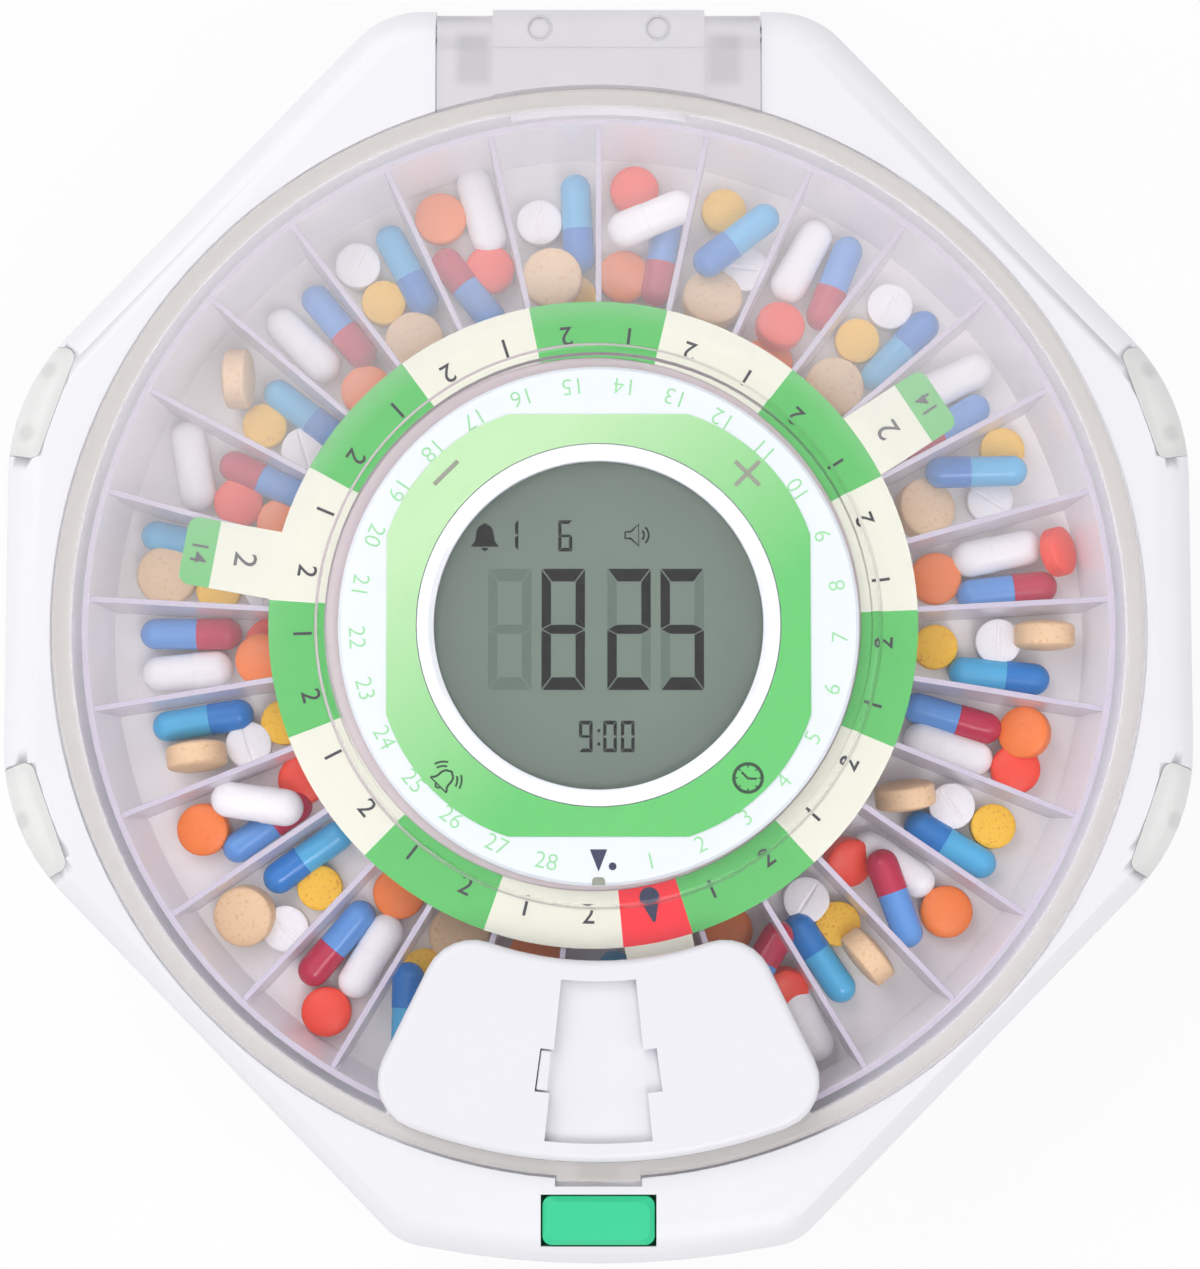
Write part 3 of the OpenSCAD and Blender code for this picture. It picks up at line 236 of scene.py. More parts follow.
def packages(tree, spots):
    """Where the light packages show through a lens; each spot is mirrored to all four lenses."""
    folded = add_node(tree, "ShaderNodeVectorMath", {0: object_point(tree)}, operation="ABSOLUTE")
    flat = add_node(tree, "ShaderNodeVectorMath", {0: folded.outputs["Vector"], 1: (1.0, 1.0, 0.0)},
                    operation="MULTIPLY")
    total = 0.0
    for x, y in spots:
        reach = add_node(tree, "ShaderNodeVectorMath", {0: flat.outputs["Vector"],
                                                        1: (x * MM, y * MM, 0.0)}, operation="DISTANCE")
        near = spread(tree, reach.outputs["Value"], 1.0, 0.0, 0.9 * MM, 2.1 * MM)
        total = add_node(tree, "ShaderNodeMath", {0: near, 1: total}, operation="MAXIMUM").outputs["Value"]
    return total


def clear(name, colour, edge, through, rough=0.0, ior=1.5, milk=0.0, top_milk=0.0, body=None,
          grain=3.0, depth=0.01, edge_blend=0.35, painted_glare=0.0, spots=(), crest=None, rim=None,
          seen=None, glow=0.0):
    """Clear moulded plastic, tinted where it is seen edge on, that lets lamps through.

    Milk is how much of the body colour shows, on walls and on top faces. Crest is the body
    colour of top faces, rim that of the lid's rim, seen the place of ribs that show through,
    and spots that of lights behind it. A painted haze, rising towards the hinge, is a painted
    reflection of the overhead softbox on the lid; glow is a painted glow, light emitted in the
    body colour that stands in for light scattered in the wall.
    """
    material, tree = new_material(name)
    fine = pattern(tree, grain, detail=3.0)
    normal = relief(tree, fine, depth, 0.4)
    side = add_node(tree, "ShaderNodeLayerWeight", {"Blend": edge_blend})
    tint = blend(tree, side.outputs["Facing"], colour, edge)
    glass = add_node(tree, "ShaderNodeBsdfPrincipled", {
        "Base Color": tint, "Roughness": spread(tree, fine, rough, rough * 1.3 + 0.004), "IOR": ior,
        "Transmission Weight": 1.0, "Normal": normal})
    shader = glass.outputs["BSDF"]
    if body:
        uneven = packages(tree, spots) if spots else pattern(tree, 9.0)
        facing = add_node(tree, "ShaderNodeNewGeometry")
        upward = add_node(tree, "ShaderNodeSeparateXYZ", {"Vector": facing.outputs["Normal"]}).outputs["Z"]
        share = spread(tree, upward, milk, top_milk, *TOP_FACE)
        tone = blend(tree, uneven, body, deeper(body, 0.86 if spots else 0.93))
        if crest:
            tone = blend(tree, spread(tree, upward, 0.0, 1.0, *TOP_FACE), tone, crest)
        if seen:
            tone = blend(tree, ribs(tree, *seen), tone, deeper(body, 0.8))
        if rim:
            past = band(tree, *RIM_BAND)
            tone = blend(tree, past, tone, rim)
            share = spread(tree, past, 0.0, RIM_MILK)
        # Painted glow: the body colour is also emitted, as a stand-in for light scattered in the wall
        solid = add_node(tree, "ShaderNodeBsdfPrincipled", {
            "Base Color": tone, "Roughness": 0.35, "IOR": ior, "Normal": normal,
            "Emission Color": body, "Emission Strength": glow})
        # Painted reflection: a milky haze mixed in where the overhead softbox's reflection falls on the lid
        if painted_glare:
            share = add_node(tree, "ShaderNodeMath", {0: share, 1: veil(tree, painted_glare)},
                             operation="ADD").outputs["Value"]
        shader = add_node(tree, "ShaderNodeMixShader", {0: share, 1: shader,
                                                        2: solid.outputs["BSDF"]}).outputs["Shader"]
    ray = add_node(tree, "ShaderNodeLightPath")
    passed = add_node(tree, "ShaderNodeBsdfTransparent", {"Color": through})
    mixed = add_node(tree, "ShaderNodeMixShader", {0: ray.outputs["Is Shadow Ray"], 1: shader,
                                                   2: passed.outputs["BSDF"]})
    finish_material(tree, mixed.outputs["Shader"])
    return material


def printed_label(name, colour, glare_tone):
    """Printed film under a satin laminate; its ink is painted paler towards the rear and left, a painted
    reflection of the overhead softbox.
    """
    material, tree = new_material(name)
    # Painted reflection: paler towards the rear and left, where the overhead softbox's haze lies
    share = spread(tree, along(tree, (-0.64, 0.77, 0.0)), 0.0, 1.0, -16 * MM, 34 * MM)
    grain = pattern(tree, 0.25)
    shader = add_node(tree, "ShaderNodeBsdfPrincipled", {
        "Base Color": blend(tree, share, blend(tree, grain, colour, deeper(colour, 0.97)), glare_tone),
        "Roughness": spread(tree, grain, 0.3, 0.4), "Normal": relief(tree, grain, 0.002)})
    finish_material(tree, shader.outputs["BSDF"])
    return material


def metal(name, colour, share, rough, grain, stretch=(1.0, 1.0, 1.0)):
    """Bare metal with the fine lines or cells that its making leaves."""
    material, tree = new_material(name)
    fine = pattern(tree, grain, 4.0, stretch)
    shader = add_node(tree, "ShaderNodeBsdfPrincipled", {
        "Base Color": blend(tree, fine, colour, deeper(colour, share)), "Metallic": 1.0,
        "Roughness": spread(tree, fine, rough - 0.08, rough + 0.08)})
    finish_material(tree, shader.outputs["BSDF"])
    return material


def pressed_tablet(name, colour, fleck_colour, fleck=0.5, rough=0.6):
    """Pressed powder: fine grain, with flecks where the mix is uneven."""
    material, tree = new_material(name)
    grain = pattern(tree, fleck, 3.0)
    powder = blend(tree, grain, colour, deeper(colour, 0.9))
    tone = blend(tree, spread(tree, grain, 0, 1, 0.6, 0.68), powder, fleck_colour)
    shader = add_node(tree, "ShaderNodeBsdfPrincipled", {
        "Base Color": tone, "Roughness": rough, "Normal": relief(tree, grain, 0.03)})
    finish_material(tree, shader.outputs["BSDF"])
    return material


def display_film(name, colour, painted_rim_shade):
    """Reflective film behind the liquid crystal: fine grain, with painted shade that darkens it towards its
    rim, under the bezel's edge.
    """
    material, tree = new_material(name)
    # Painted shade: darker towards the rim, where the bezel's recess shades the film
    rim = band(tree, 19, 31)
    base = blend(tree, pattern(tree, 0.2), colour, deeper(colour, 0.96))
    tone = blend(tree, rim, base, deeper(colour, painted_rim_shade))
    shader = add_node(tree, "ShaderNodeBsdfPrincipled", {"Base Color": tone, "Roughness": 0.5,
                                                         "Specular IOR Level": 0.1})
    finish_material(tree, shader.outputs["BSDF"])
    return material


def deselect():
    """Leaves nothing selected and no piece in edit mode."""
    if bpy.context.object and bpy.context.object.mode != "OBJECT":
        bpy.ops.object.mode_set(mode="OBJECT")
    bpy.ops.object.select_all(action="DESELECT")


def choose(piece):
    """Selects one piece alone and makes it the active one."""
    deselect()
    piece.select_set(True)
    bpy.context.view_layer.objects.active = piece


def apply_place(piece):
    """Puts a piece's place into its mesh, so that its object sits at the origin."""
    choose(piece)
    bpy.ops.object.transform_apply(location=True, rotation=True, scale=True)
    return piece


def named(piece, name):
    """Gives a piece and its mesh one name."""
    piece.name = name
    piece.data.name = name
    return piece


def edit(piece, mode="VERT"):
    """Opens a piece in edit mode with nothing selected."""
    choose(piece)
    bpy.ops.object.mode_set(mode="EDIT")
    bpy.ops.mesh.select_mode(type=mode)
    bpy.ops.mesh.select_all(action="DESELECT")


def pick(piece, test):
    """Selects the vertices whose place passes a test, in edit mode."""
    bpy.ops.mesh.select_all(action="DESELECT")
    bpy.ops.object.mode_set(mode="OBJECT")
    for vertex in piece.data.vertices:
        vertex.select = bool(test(vertex.co))
    bpy.ops.object.mode_set(mode="EDIT")


def leave_edit():
    bpy.ops.object.mode_set(mode="OBJECT")


def outwards(piece):
    """Turns all of a piece's faces outwards."""
    edit(piece)
    bpy.ops.mesh.select_all(action="SELECT")
    bpy.ops.mesh.normals_make_consistent(inside=False)
    leave_edit()


def merge(piece, reach):
    """Merges a piece's doubled points and joins its faces that are flat to each other."""
    edit(piece)
    bpy.ops.mesh.select_all(action="SELECT")
    bpy.ops.mesh.remove_doubles(threshold=reach)
    bpy.ops.mesh.dissolve_limited(angle_limit=math.radians(FLAT))
    leave_edit()


def modify(piece, kind, **settings):
    """Adds a modifier, sets it and applies it."""
    choose(piece)
    bpy.ops.object.modifier_add(type=kind)
    made = piece.modifiers[-1]
    for key, value in settings.items():
        setattr(made, key, value)
    bpy.ops.object.modifier_apply(modifier=made.name)
    return piece


def smooth(piece, degrees=30):
    """Shades a piece smooth but for edges sharper than this angle."""
    choose(piece)
    bpy.ops.object.shade_smooth_by_angle(angle=math.radians(degrees))
    return modify(piece, "WEIGHTED_NORMAL", keep_sharp=True)


def joined(pieces, name):
    """One piece from several, under a new name."""
    deselect()
    for piece in pieces:
        piece.select_set(True)
    bpy.context.view_layer.objects.active = pieces[0]
    if len(pieces) > 1:
        bpy.ops.object.join()
    return named(bpy.context.object, name)


def paint(piece, *materials):
    """Gives a piece these materials in place of its own."""
    piece.data.materials.clear()
    for material in materials:
        piece.data.materials.append(material)
    return piece


def finish_piece(piece, body, slot=None, *nodes):
    """Puts a piece on its body and in the place of the nodes that it stands for; slot is not used."""
    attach(piece, body)
    if nodes:
        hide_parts(*nodes)
    return piece


def dress(material, *nodes):
    """Gives CAD nodes whose shape is right their material."""
    for node in nodes:
        paint(frame["nodes"][node], material)


def carried(node, material, degrees=30, bevel=0.0, suffix="moulding"):
    """A merged copy of a CAD node with soft edges and smooth shading, which stands for it."""
    piece = bpy.data.objects.new(node + "_" + suffix, frame["nodes"][node].data.copy())
    bpy.context.scene.collection.objects.link(piece)
    merge(piece, DOUBLES)
    if bevel:
        modify(piece, "BEVEL", width=bevel * MM, segments=2, limit_method="ANGLE",
               angle_limit=math.radians(40), use_clamp_overlap=True, miter_outer="MITER_ARC")
    smooth(piece, degrees)
    paint(piece, material)
    return finish_piece(piece, BODY_OF[node], SLOT_OF[node], node)


def lettering(text, size, place, turn, material, weight=0.0):
    """A word or number as a thin raised print; its foot is at the place's height."""
    bpy.ops.object.text_add(location=place, rotation=(0, 0, turn))
    print_ = bpy.context.object
    print_.data.body = text
    print_.data.size = size * MM
    print_.data.align_x = "CENTER"
    print_.data.align_y = "CENTER"
    print_.data.extrude = INK * MM / 2
    print_.data.offset = weight * MM
    print_.data.resolution_u = 4
    choose(print_)
    bpy.ops.object.convert(target="MESH")
    print_ = bpy.context.object
    bpy.ops.transform.translate(value=(0, 0, INK * MM / 2))
    apply_place(print_)
    return paint(print_, material)


def bar(x, y, length, width, turn, foot, thick, material, tip=0.0):
    """A thin flat bar whose corners are cut back by tip."""
    bpy.ops.mesh.primitive_plane_add(size=1, location=(0, 0, 0))
    piece = bpy.context.object
    piece.scale = (length * MM, width * MM, 1)
    apply_place(piece)
    if tip:
        edit(piece)
        bpy.ops.mesh.select_all(action="SELECT")
        bpy.ops.mesh.bevel(affect="VERTICES", offset=tip * MM, segments=1)
        leave_edit()
    edit(piece, "FACE")
    bpy.ops.mesh.select_all(action="SELECT")
    bpy.ops.mesh.extrude_region_move(TRANSFORM_OT_translate={"value": (0, 0, thick * MM)})
    leave_edit()
    piece.rotation_euler = (0, 0, turn)
    piece.location = (x * MM, y * MM, foot)
    apply_place(piece)
    outwards(piece)
    return paint(piece, material)


def curve_mesh(name, points, closed, **settings):
    """A mesh from a curve of straight lines through points in metres."""
    curve = bpy.data.curves.new(name, "CURVE")
    for key, value in settings.items():
        setattr(curve, key, value)
    spline = curve.splines.new("POLY")
    spline.points.add(len(points) - 1)
    for point, place in zip(spline.points, points):
        point.co = (*place, 1)
    spline.use_cyclic_u = closed
    piece = bpy.data.objects.new(name, curve)
    bpy.context.scene.collection.objects.link(piece)
    choose(piece)
    bpy.ops.object.convert(target="MESH")
    return bpy.context.object


def stroke(points, width, foot, material, closed=False, thick=0.06):
    """A fine printed line through points in millimetres, as a flattened tube."""
    piece = curve_mesh("line", [(x * MM, y * MM, 0) for x, y in points], closed, dimensions="3D",
                       bevel_depth=width * MM / 2, bevel_resolution=1, use_fill_caps=not closed)
    piece.scale = (1, 1, thick / width)
    piece.location = (0, 0, foot + thick * MM / 2)
    apply_place(piece)
    return paint(piece, material)


def round_points(cx, cy, radius, start, end, count):
    """Points along an arc about a middle, from one angle to another in degrees."""
    return [(cx + radius * math.cos(math.radians(start + (end - start) * i / count)),
             cy + radius * math.sin(math.radians(start + (end - start) * i / count)))
            for i in range(count + 1)]


def at(radius, angle):
    """A point this far from the tray's axis, turned from the front towards the right."""
    return radius * math.sin(angle), -radius * math.cos(angle)


def hex_colour(name, description, value):
    """A colour that the user can change, with its default as an sRGB hex value."""
    return FloatVectorProperty(name=name, description=description, default=linear(value), size=4,
                               subtype="COLOR", min=0.0, max=1.0)


class DispenserFinishes(bpy.types.PropertyGroup):
    """Colours of the dispenser's finishes."""
    housing: hex_colour("Housing", "Moulded ABS of the two shells", "#F5F5FA")
    cover: hex_colour("Window cover", "Moulded ABS over the dispensing window", "#F3F2F8")
    hub: hex_colour("Hub", "Moulded ABS of the hub's cover", "#DAE0E4")
    button: hex_colour("Button", "Moulded ABS of the lid release", "#3CDCA0")
    label: hex_colour("Label", "Printed film on the hub", "#58BC61")
    green: hex_colour("Green dose", "Green ink of the dosage ring", "#54B65C")
    cream: hex_colour("Cream dose", "Cream ground of the dosage ring", "#DCDDCC")
    red: hex_colour("Start mark", "Red ink of the dosage ring", "#EE1428")
    display: hex_colour("Display", "Film behind the display's segments", "#758378")
    lid: hex_colour("Lid", "Clear polycarbonate of the lid", "#FCFBFE")
    edge: hex_colour("Edges", "Clear plastic seen edge on", "#CCC5CB")


class DispenserSizes(bpy.types.PropertyGroup):
    """Sizes of the prints and the load, the time shown, and the camera's distance."""
    ring_number: FloatProperty(name="Ring numbers", description="Type size of the dosage ring's numbers",
                               default=5.0 * MM, unit="LENGTH", min=0.0)
    hub_number: FloatProperty(name="Hub numbers", description="Type size of the numbers round the hub",
                              default=4.4 * MM, unit="LENGTH", min=0.0)
    ring_inner: FloatProperty(name="Ring bore", description="Inner radius of the dosage ring",
                              default=49.5 * MM, unit="LENGTH", min=0.0)
    capsule: FloatProperty(name="Capsule length", description="Length of a two-part capsule",
                           default=19.4 * MM, unit="LENGTH", min=0.0)
    hours: IntProperty(name="Display hours", description="Hours on the display", default=8, min=1, max=12)
    minutes: IntProperty(name="Display minutes", description="Minutes on the display", default=25, min=0,
                         max=59)
    distance: FloatProperty(name="Camera distance", description="Distance from the lid to the camera",
                            default=0.6, unit="LENGTH", min=0.1)


# The finishes by name, filled by the first operator
MATERIALS = {}


class DISPENSER_OT_finishes(bpy.types.Operator):
    """Makes the materials that every piece is finished in."""
    bl_idname = "dispenser.finishes"
    bl_label = "Finishes"

    def execute(self, context):
        tone = context.scene.dispenser_finishes
        made = MATERIALS
        # Injection-moulded ABS: satin, with the fine texture that a spark-eroded mould leaves
        made["housing"] = moulded("white_abs", tone.housing, 0.975, grain=0.45, depth=0.008, rough=0.4)
        made["cover"] = moulded("white_abs_cover", tone.cover, 0.98, grain=0.4, rough=0.36)
        made["hub"] = moulded("white_abs_hub", tone.hub, 0.98, rough=0.34)
        made["bezel"] = moulded("white_abs_bezel", linear("#EAEEF1"), 0.98, rough=0.3)
        made["button"] = moulded("green_abs", tone.button, 0.96, grain=0.35, rough=0.32)
        made["inner"] = moulded("grey_white_abs", linear("#DADADF"), 0.95, rough=0.5)
        # Clear polycarbonate: polished mould, lavender where the light runs along the wall
        # The lid's haze over the tray is a painted reflection of the overhead softbox
        made["lid"] = clear("clear_polycarbonate", tone.lid, tone.edge, linear("#FFFFFF"), ior=1.45,
                            body=linear("#F1EEEF"), painted_glare=0.16, depth=0.002, edge_blend=0.45,
                            rim=linear("#DCD8D5"))
        made["bracket"] = clear("frosted_polycarbonate", linear("#F8F7F9"), linear("#E6E4EA"),
                                linear("#ECEBEE"), rough=0.3, milk=0.6, top_milk=0.78,
                                body=linear("#E4E2E5"), grain=0.5, depth=0.02, seen=RIB_AT)
        # Grey of the rims round the bracket's ejector dimples: painted shade on their edges
        made["bracket_shade"] = moulded("frosted_polycarbonate_shade", linear("#D3D1D4"), 0.96, rough=0.4)
        made["lens"] = clear("diffuser_polycarbonate", linear("#F6F7F6"), linear("#ECEDEC"),
                             linear("#E8E8E8"), rough=0.4, milk=0.8, top_milk=0.8,
                             body=linear("#F4F4F3"), grain=0.6, depth=0.02, spots=LIGHTS_AT)
        # Crystal polystyrene: hazy walls, violet on the cut-off edges
        resin = dict(colour=linear("#F8F6FA"), edge=linear("#E8E3ED"), through=linear("#FEFEFE"), ior=1.4)
        # The tray's walls and dividers carry a painted glow, a faint emission in their body colour
        made["tray"] = clear("clear_polystyrene", rough=0.08, milk=0.7, top_milk=0.85,
                             body=linear("#FAF7FA"), crest=linear("#C2BACA"), glow=0.05, grain=2.0,
                             depth=0.02, **resin)
        made["divider"] = clear("clear_polystyrene_divider", rough=0.08, milk=0.5, top_milk=0.85,
                                body=linear("#D2CCD7"), crest=linear("#C2BACA"), glow=0.04, grain=2.0,
                                depth=0.02, **resin)
        made["tray_floor"] = clear("clear_polystyrene_floor", rough=0.15, milk=0.9, top_milk=0.95,
                                   body=linear("#F4F1F0"), grain=2.5, depth=0.03, **resin)
        # A taupe sheet in the gap between the card and the hub: painted shade
        made["lip"] = moulded("clear_polystyrene_lip", linear("#D6C9CB"), 0.93, grain=1.5, rough=0.3)
        made["window"] = clear("clear_acrylic", linear("#F8FAF9"), linear("#DCE6E0"),
                               linear("#FAFBFA"), ior=1.25, depth=0.001)
        # Printed film and card: flat ink under a satin laminate, with the fine screen of the print
        film = dict(grain=0.25, depth=0.002, rough=0.34, drift=5, ior=1.5)
        # The label is painted paler towards the rear and left: a painted reflection of the overhead softbox
        made["label"] = printed_label("green_printed_film", tone.label, linear("#B2D8A4"))
        made["green"] = moulded("green_printed_card", tone.green, 0.97, **film)
        made["cream"] = moulded("cream_printed_card", tone.cream, 0.98, **film)
        made["red"] = moulded("red_printed_card", tone.red, 0.97, **film)
        made["ink"] = moulded("black_ink", linear("#35363B"), 0.9, **film)
        made["pale_ink"] = moulded("pale_green_ink", linear("#93D297"), 0.95, **film)
        made["navy_ink"] = moulded("navy_ink", linear("#1F2A4C"), 0.9, **film)
        made["grey_ink"] = moulded("grey_ink", linear("#8C9080"), 0.93, **film)
        made["icon_ink"] = moulded("dark_green_ink", linear("#1E4028"), 0.9, **film)
        # The display's film carries painted shade towards its rim
        made["display"] = display_film("display_film", tone.display, 0.8)
        cell = {"Specular IOR Level": 0.0, **film}
        made["segment"] = moulded("lit_segment", linear("#080707"), 0.9, **cell)
        made["ghost"] = moulded("unlit_segment", linear("#64746A"), 0.97, **cell)
        # Rubbers are matt, acetal is waxy, and the boards' mask and the cells' sleeves are glossy
        made["rubber"] = moulded("grey_rubber", linear("#4A4A4E"), 0.85, grain=0.3, depth=0.02, rough=0.8)
        made["silicone"] = moulded("silicone_rubber", linear("#D8DADC"), 0.95, rough=0.6, ior=1.41)
        made["acetal"] = moulded("white_acetal", linear("#E6E2D6"), 0.94, rough=0.42, ior=1.48)
        made["black"] = moulded("black_polypropylene", linear("#303034"), 0.85, rough=0.5, ior=1.49)
        made["board"] = moulded("green_solder_mask", linear("#1F6B43"), 0.85, grain=0.8, rough=0.3)
        made["sleeve"] = moulded("shrink_sleeve", linear("#2F6F4F"), 0.9, grain=1.0, rough=0.25)
        # Zinc plating is mottled; the drawn can and the turned brass show fine lines
        made["steel"] = metal("zinc_plated_steel", linear("#C4C7CC"), 0.8, 0.32, 0.5)
        made["can"] = metal("pressed_steel", linear("#B9BCC2"), 0.8, 0.35, 0.4, (1.0, 1.0, 12.0))
        made["brass"] = metal("turned_brass", linear("#C9A24A"), 0.85, 0.28, 0.3, (1.0, 1.0, 8.0))
        # Gelatin shells are glossy; pressed tablets are chalky or film coated
        shell = dict(grain=1.2, depth=0.01, rough=0.16, drift=3, ior=1.5)
        made["dark_blue"] = moulded("dark_blue_gelatin", linear("#187CCC"), 0.92, **shell)
        made["sky_blue"] = moulded("sky_blue_gelatin", linear("#4DB4E4"), 0.9, **shell)
        made["pale_blue"] = moulded("pale_blue_gelatin", linear("#5E9BE0"), 0.9, **shell)
        made["crimson"] = moulded("crimson_gelatin", linear("#C41846"), 0.9, **shell)
        made["white_tablet"] = pressed_tablet("white_tablet", linear("#FBF9FA"), linear("#EFEBEB"))
        made["caplet"] = pressed_tablet("coated_caplet", linear("#FBFAFA"), linear("#F2EFEF"), rough=0.4)
        made["yellow_tablet"] = pressed_tablet("yellow_tablet", linear("#FFC72E"), linear("#E08A10"))
        made["beige_tablet"] = pressed_tablet("beige_tablet", linear("#EFCBA0"), linear("#DEB07A"),
                                              fleck=0.7)
        made["orange_tablet"] = pressed_tablet("orange_coated_tablet", linear("#FF8230"),
                                               linear("#F46A14"), rough=0.4)
        made["red_tablet"] = pressed_tablet("red_coated_tablet", linear("#FF4226"), linear("#F23A1E"),
                                            rough=0.4)
        return {"FINISHED"}


def lamp(name, place, aim, size, energy):
    """A softbox that faces a point."""
    turn = (Vector(place) - Vector(aim)).to_track_quat("Z", "Y").to_euler()
    bpy.ops.object.light_add(type="AREA", location=place, rotation=turn)
    box = bpy.context.object
    box.name = name
    box.data.shape = "RECTANGLE"
    box.data.size = size[0]
    box.data.size_y = size[1]
    box.data.energy = energy
    return box


class DISPENSER_OT_stage(bpy.types.Operator):
    """Sets up the pale table, the softboxes, the surroundings and the camera."""
    bl_idname = "dispenser.stage"
    bl_label = "Stage"

    elevation: FloatProperty(name="Elevation", description="Camera angle above the table",
                             default=math.radians(85), subtype="ANGLE")
    aim: FloatVectorProperty(name="Aim", description="Point that the camera looks at",
                             default=(0.00026, -0.00184, 0.0517), subtype="TRANSLATION", unit="LENGTH")
    field: FloatProperty(name="Field of view", description="Camera's field of view across the picture",
                         default=math.radians(20.8), subtype="ANGLE")

    def execute(self, context):
        scene = context.scene
        bpy.ops.mesh.primitive_plane_add(size=4, location=(0, 0, 0))
        table = named(context.object, "table_top")
        material, tree = new_material("white_laminate")
        ray = add_node(tree, "ShaderNodeLightPath")
        matt = add_node(tree, "ShaderNodeBsdfPrincipled", {
            "Base Color": blend(tree, pattern(tree, 60.0), linear("#FAFAFA"), linear("#F7F7F7")),
            "Roughness": 0.6})
        glow = add_node(tree, "ShaderNodeEmission", {"Color": (1, 1, 1, 1), "Strength": 1.0})
        share = add_node(tree, "ShaderNodeMath", {0: ray.outputs["Is Camera Ray"], 1: 0.85},
                         operation="MULTIPLY")
        mixed = add_node(tree, "ShaderNodeMixShader", {0: share.outputs["Value"], 1: matt.outputs["BSDF"],
                                                       2: glow.outputs["Emission"]})
        finish_material(tree, mixed.outputs["Shader"])
        paint(table, material)

        world = scene.world or bpy.data.worlds.new("surroundings")
        scene.world = world
        world.use_nodes = True
        tree = world.node_tree
        tree.nodes.clear()
        ray = add_node(tree, "ShaderNodeLightPath")
        seen = add_node(tree, "ShaderNodeMath", {0: ray.outputs["Is Camera Ray"],
                                                 1: ray.outputs["Is Transmission Ray"]},
                        operation="MAXIMUM")
        unseen = spread(tree, ray.outputs["Is Glossy Ray"], 0.5, 0.22)
        level = add_node(tree, "ShaderNodeMath", {0: unseen, 1: seen.outputs["Value"]},
                         operation="MAXIMUM").outputs["Value"]
        sky = add_node(tree, "ShaderNodeBackground", {"Color": (1, 1, 1, 1), "Strength": level})
        add_node(tree, "ShaderNodeOutputWorld", {"Surface": sky.outputs["Background"]})

        # Each softbox: name, place, width and height in metres, and watts
        for name, place, size, energy in (("overhead", (-0.62, 0.78, 1.15), (1.0, 1.0), 7.0),
                                          ("front", (0.3, -0.8, 1.35), (0.6, 0.6), 4.9),
                                          ("left", (-1.5, -0.3, 0.9), (0.8, 1.2), 5.0),
                                          ("right", (1.4, -0.5, 1.1), (0.8, 1.2), 5.0)):
            lamp("softbox_" + name, place, (0, 0, 0.03), size, energy)

        distance = scene.dispenser_sizes.distance
        back = Vector((0, -math.cos(self.elevation), math.sin(self.elevation)))
        bpy.ops.object.camera_add(location=Vector(self.aim) + distance * back,
                                  rotation=back.to_track_quat("Z", "Y").to_euler())
        camera = named(context.object, "camera")
        camera.data.sensor_fit = "HORIZONTAL"
        camera.data.sensor_width = 36.0
        camera.data.lens = 18.0 / math.tan(self.field / 2)
        camera.data.clip_start = 0.02
        camera.data.clip_end = 10.0
        scene.camera = camera
        scene.view_settings.view_transform = "Standard"
        return {"FINISHED"}


def plate(points, foot, thick, material):
    """A thin flat plate from an outline in millimetres."""
    piece = curve_mesh("plate", [(x * MM, y * MM, 0) for x, y in points], True, dimensions="2D",
                       fill_mode="BOTH", extrude=thick * MM / 2)
    piece.location = (0, 0, foot + thick * MM / 2)
    apply_place(piece)
    edit(piece)
    bpy.ops.mesh.select_all(action="SELECT")
    bpy.ops.mesh.remove_doubles(threshold=0.001 * MM)
    leave_edit()
    outwards(piece)
    return paint(piece, material)


def turned(points, degrees, cx=0.0, cy=0.0):
    """Points turned about the origin and then moved to a middle."""
    c = math.cos(math.radians(degrees))
    s = math.sin(math.radians(degrees))
    return [(cx + x * c - y * s, cy + x * s + y * c) for x, y in points]


# Right half of a bell's outline, from its top to its foot
BELL_SIDE = [(0.0, 2.62), (0.3, 2.6), (0.38, 2.35), (0.95, 2.12), (1.4, 1.65), (1.62, 0.95),
             (1.7, -0.25), (1.95, -0.95), (2.5, -1.5), (2.5, -1.75)]


def bell_points(size):
    """A bell's whole outline at this size."""
    half = [(x * size, y * size) for x, y in BELL_SIDE]
    return half + [(-x, y) for x, y in reversed(half[1:])]


class DISPENSER_OT_housing(bpy.types.Operator):
    """Finishes the two shells, their lenses, feet, battery door and deck."""
    bl_idname = "dispenser.housing"
    bl_label = "Housing"

    def execute(self, context):
        for node in ("top_housing", "base_shell"):
            carried(node, MATERIALS["housing"], degrees=28)
        carried("battery_door", MATERIALS["housing"], bevel=0.3)
        for end in ("front", "rear"):
            for side in ("left", "right"):
                carried("alert_lens_%s_%s" % (end, side), MATERIALS["lens"], bevel=0.25)
                carried("foot_%s_%s" % (end, side), MATERIALS["rubber"], bevel=0.2)
        carried("tray_deck", MATERIALS["housing"])
        carried("hub_column", MATERIALS["housing"])
        return {"FINISHED"}


class DISPENSER_OT_works(bpy.types.Operator):
    """Finishes what is inside the housing: cells, boards, drive, springs and screws."""
    bl_idname = "dispenser.works"
    bl_label = "Works"

    def execute(self, context):
        made = MATERIALS
        dress(made["steel"], "battery_contacts", "housing_screws", "board_screws", "motor_bracket",
              "gearbox_screws", "home_magnet", "hinge_pins", "bracket_screws", "press_springs")
        dress(made["sleeve"], *["battery_cell_%d" % i for i in (1, 2, 3, 4)])
        dress(made["board"], "alert_light_boards", "main_board", "home_sensor")
        dress(made["black"], "speaker", "tact_switches")
        dress(made["inner"], "lcd_holder", "latch_slider")
        dress(made["silicone"], "key_minus", "key_plus", "key_alarm", "key_clock")
        dress(made["can"], "motor")
        dress(made["brass"], "motor_pinion")
        dress(made["acetal"], "reduction_gear", "drive_pinion", "turntable")
        return {"FINISHED"}


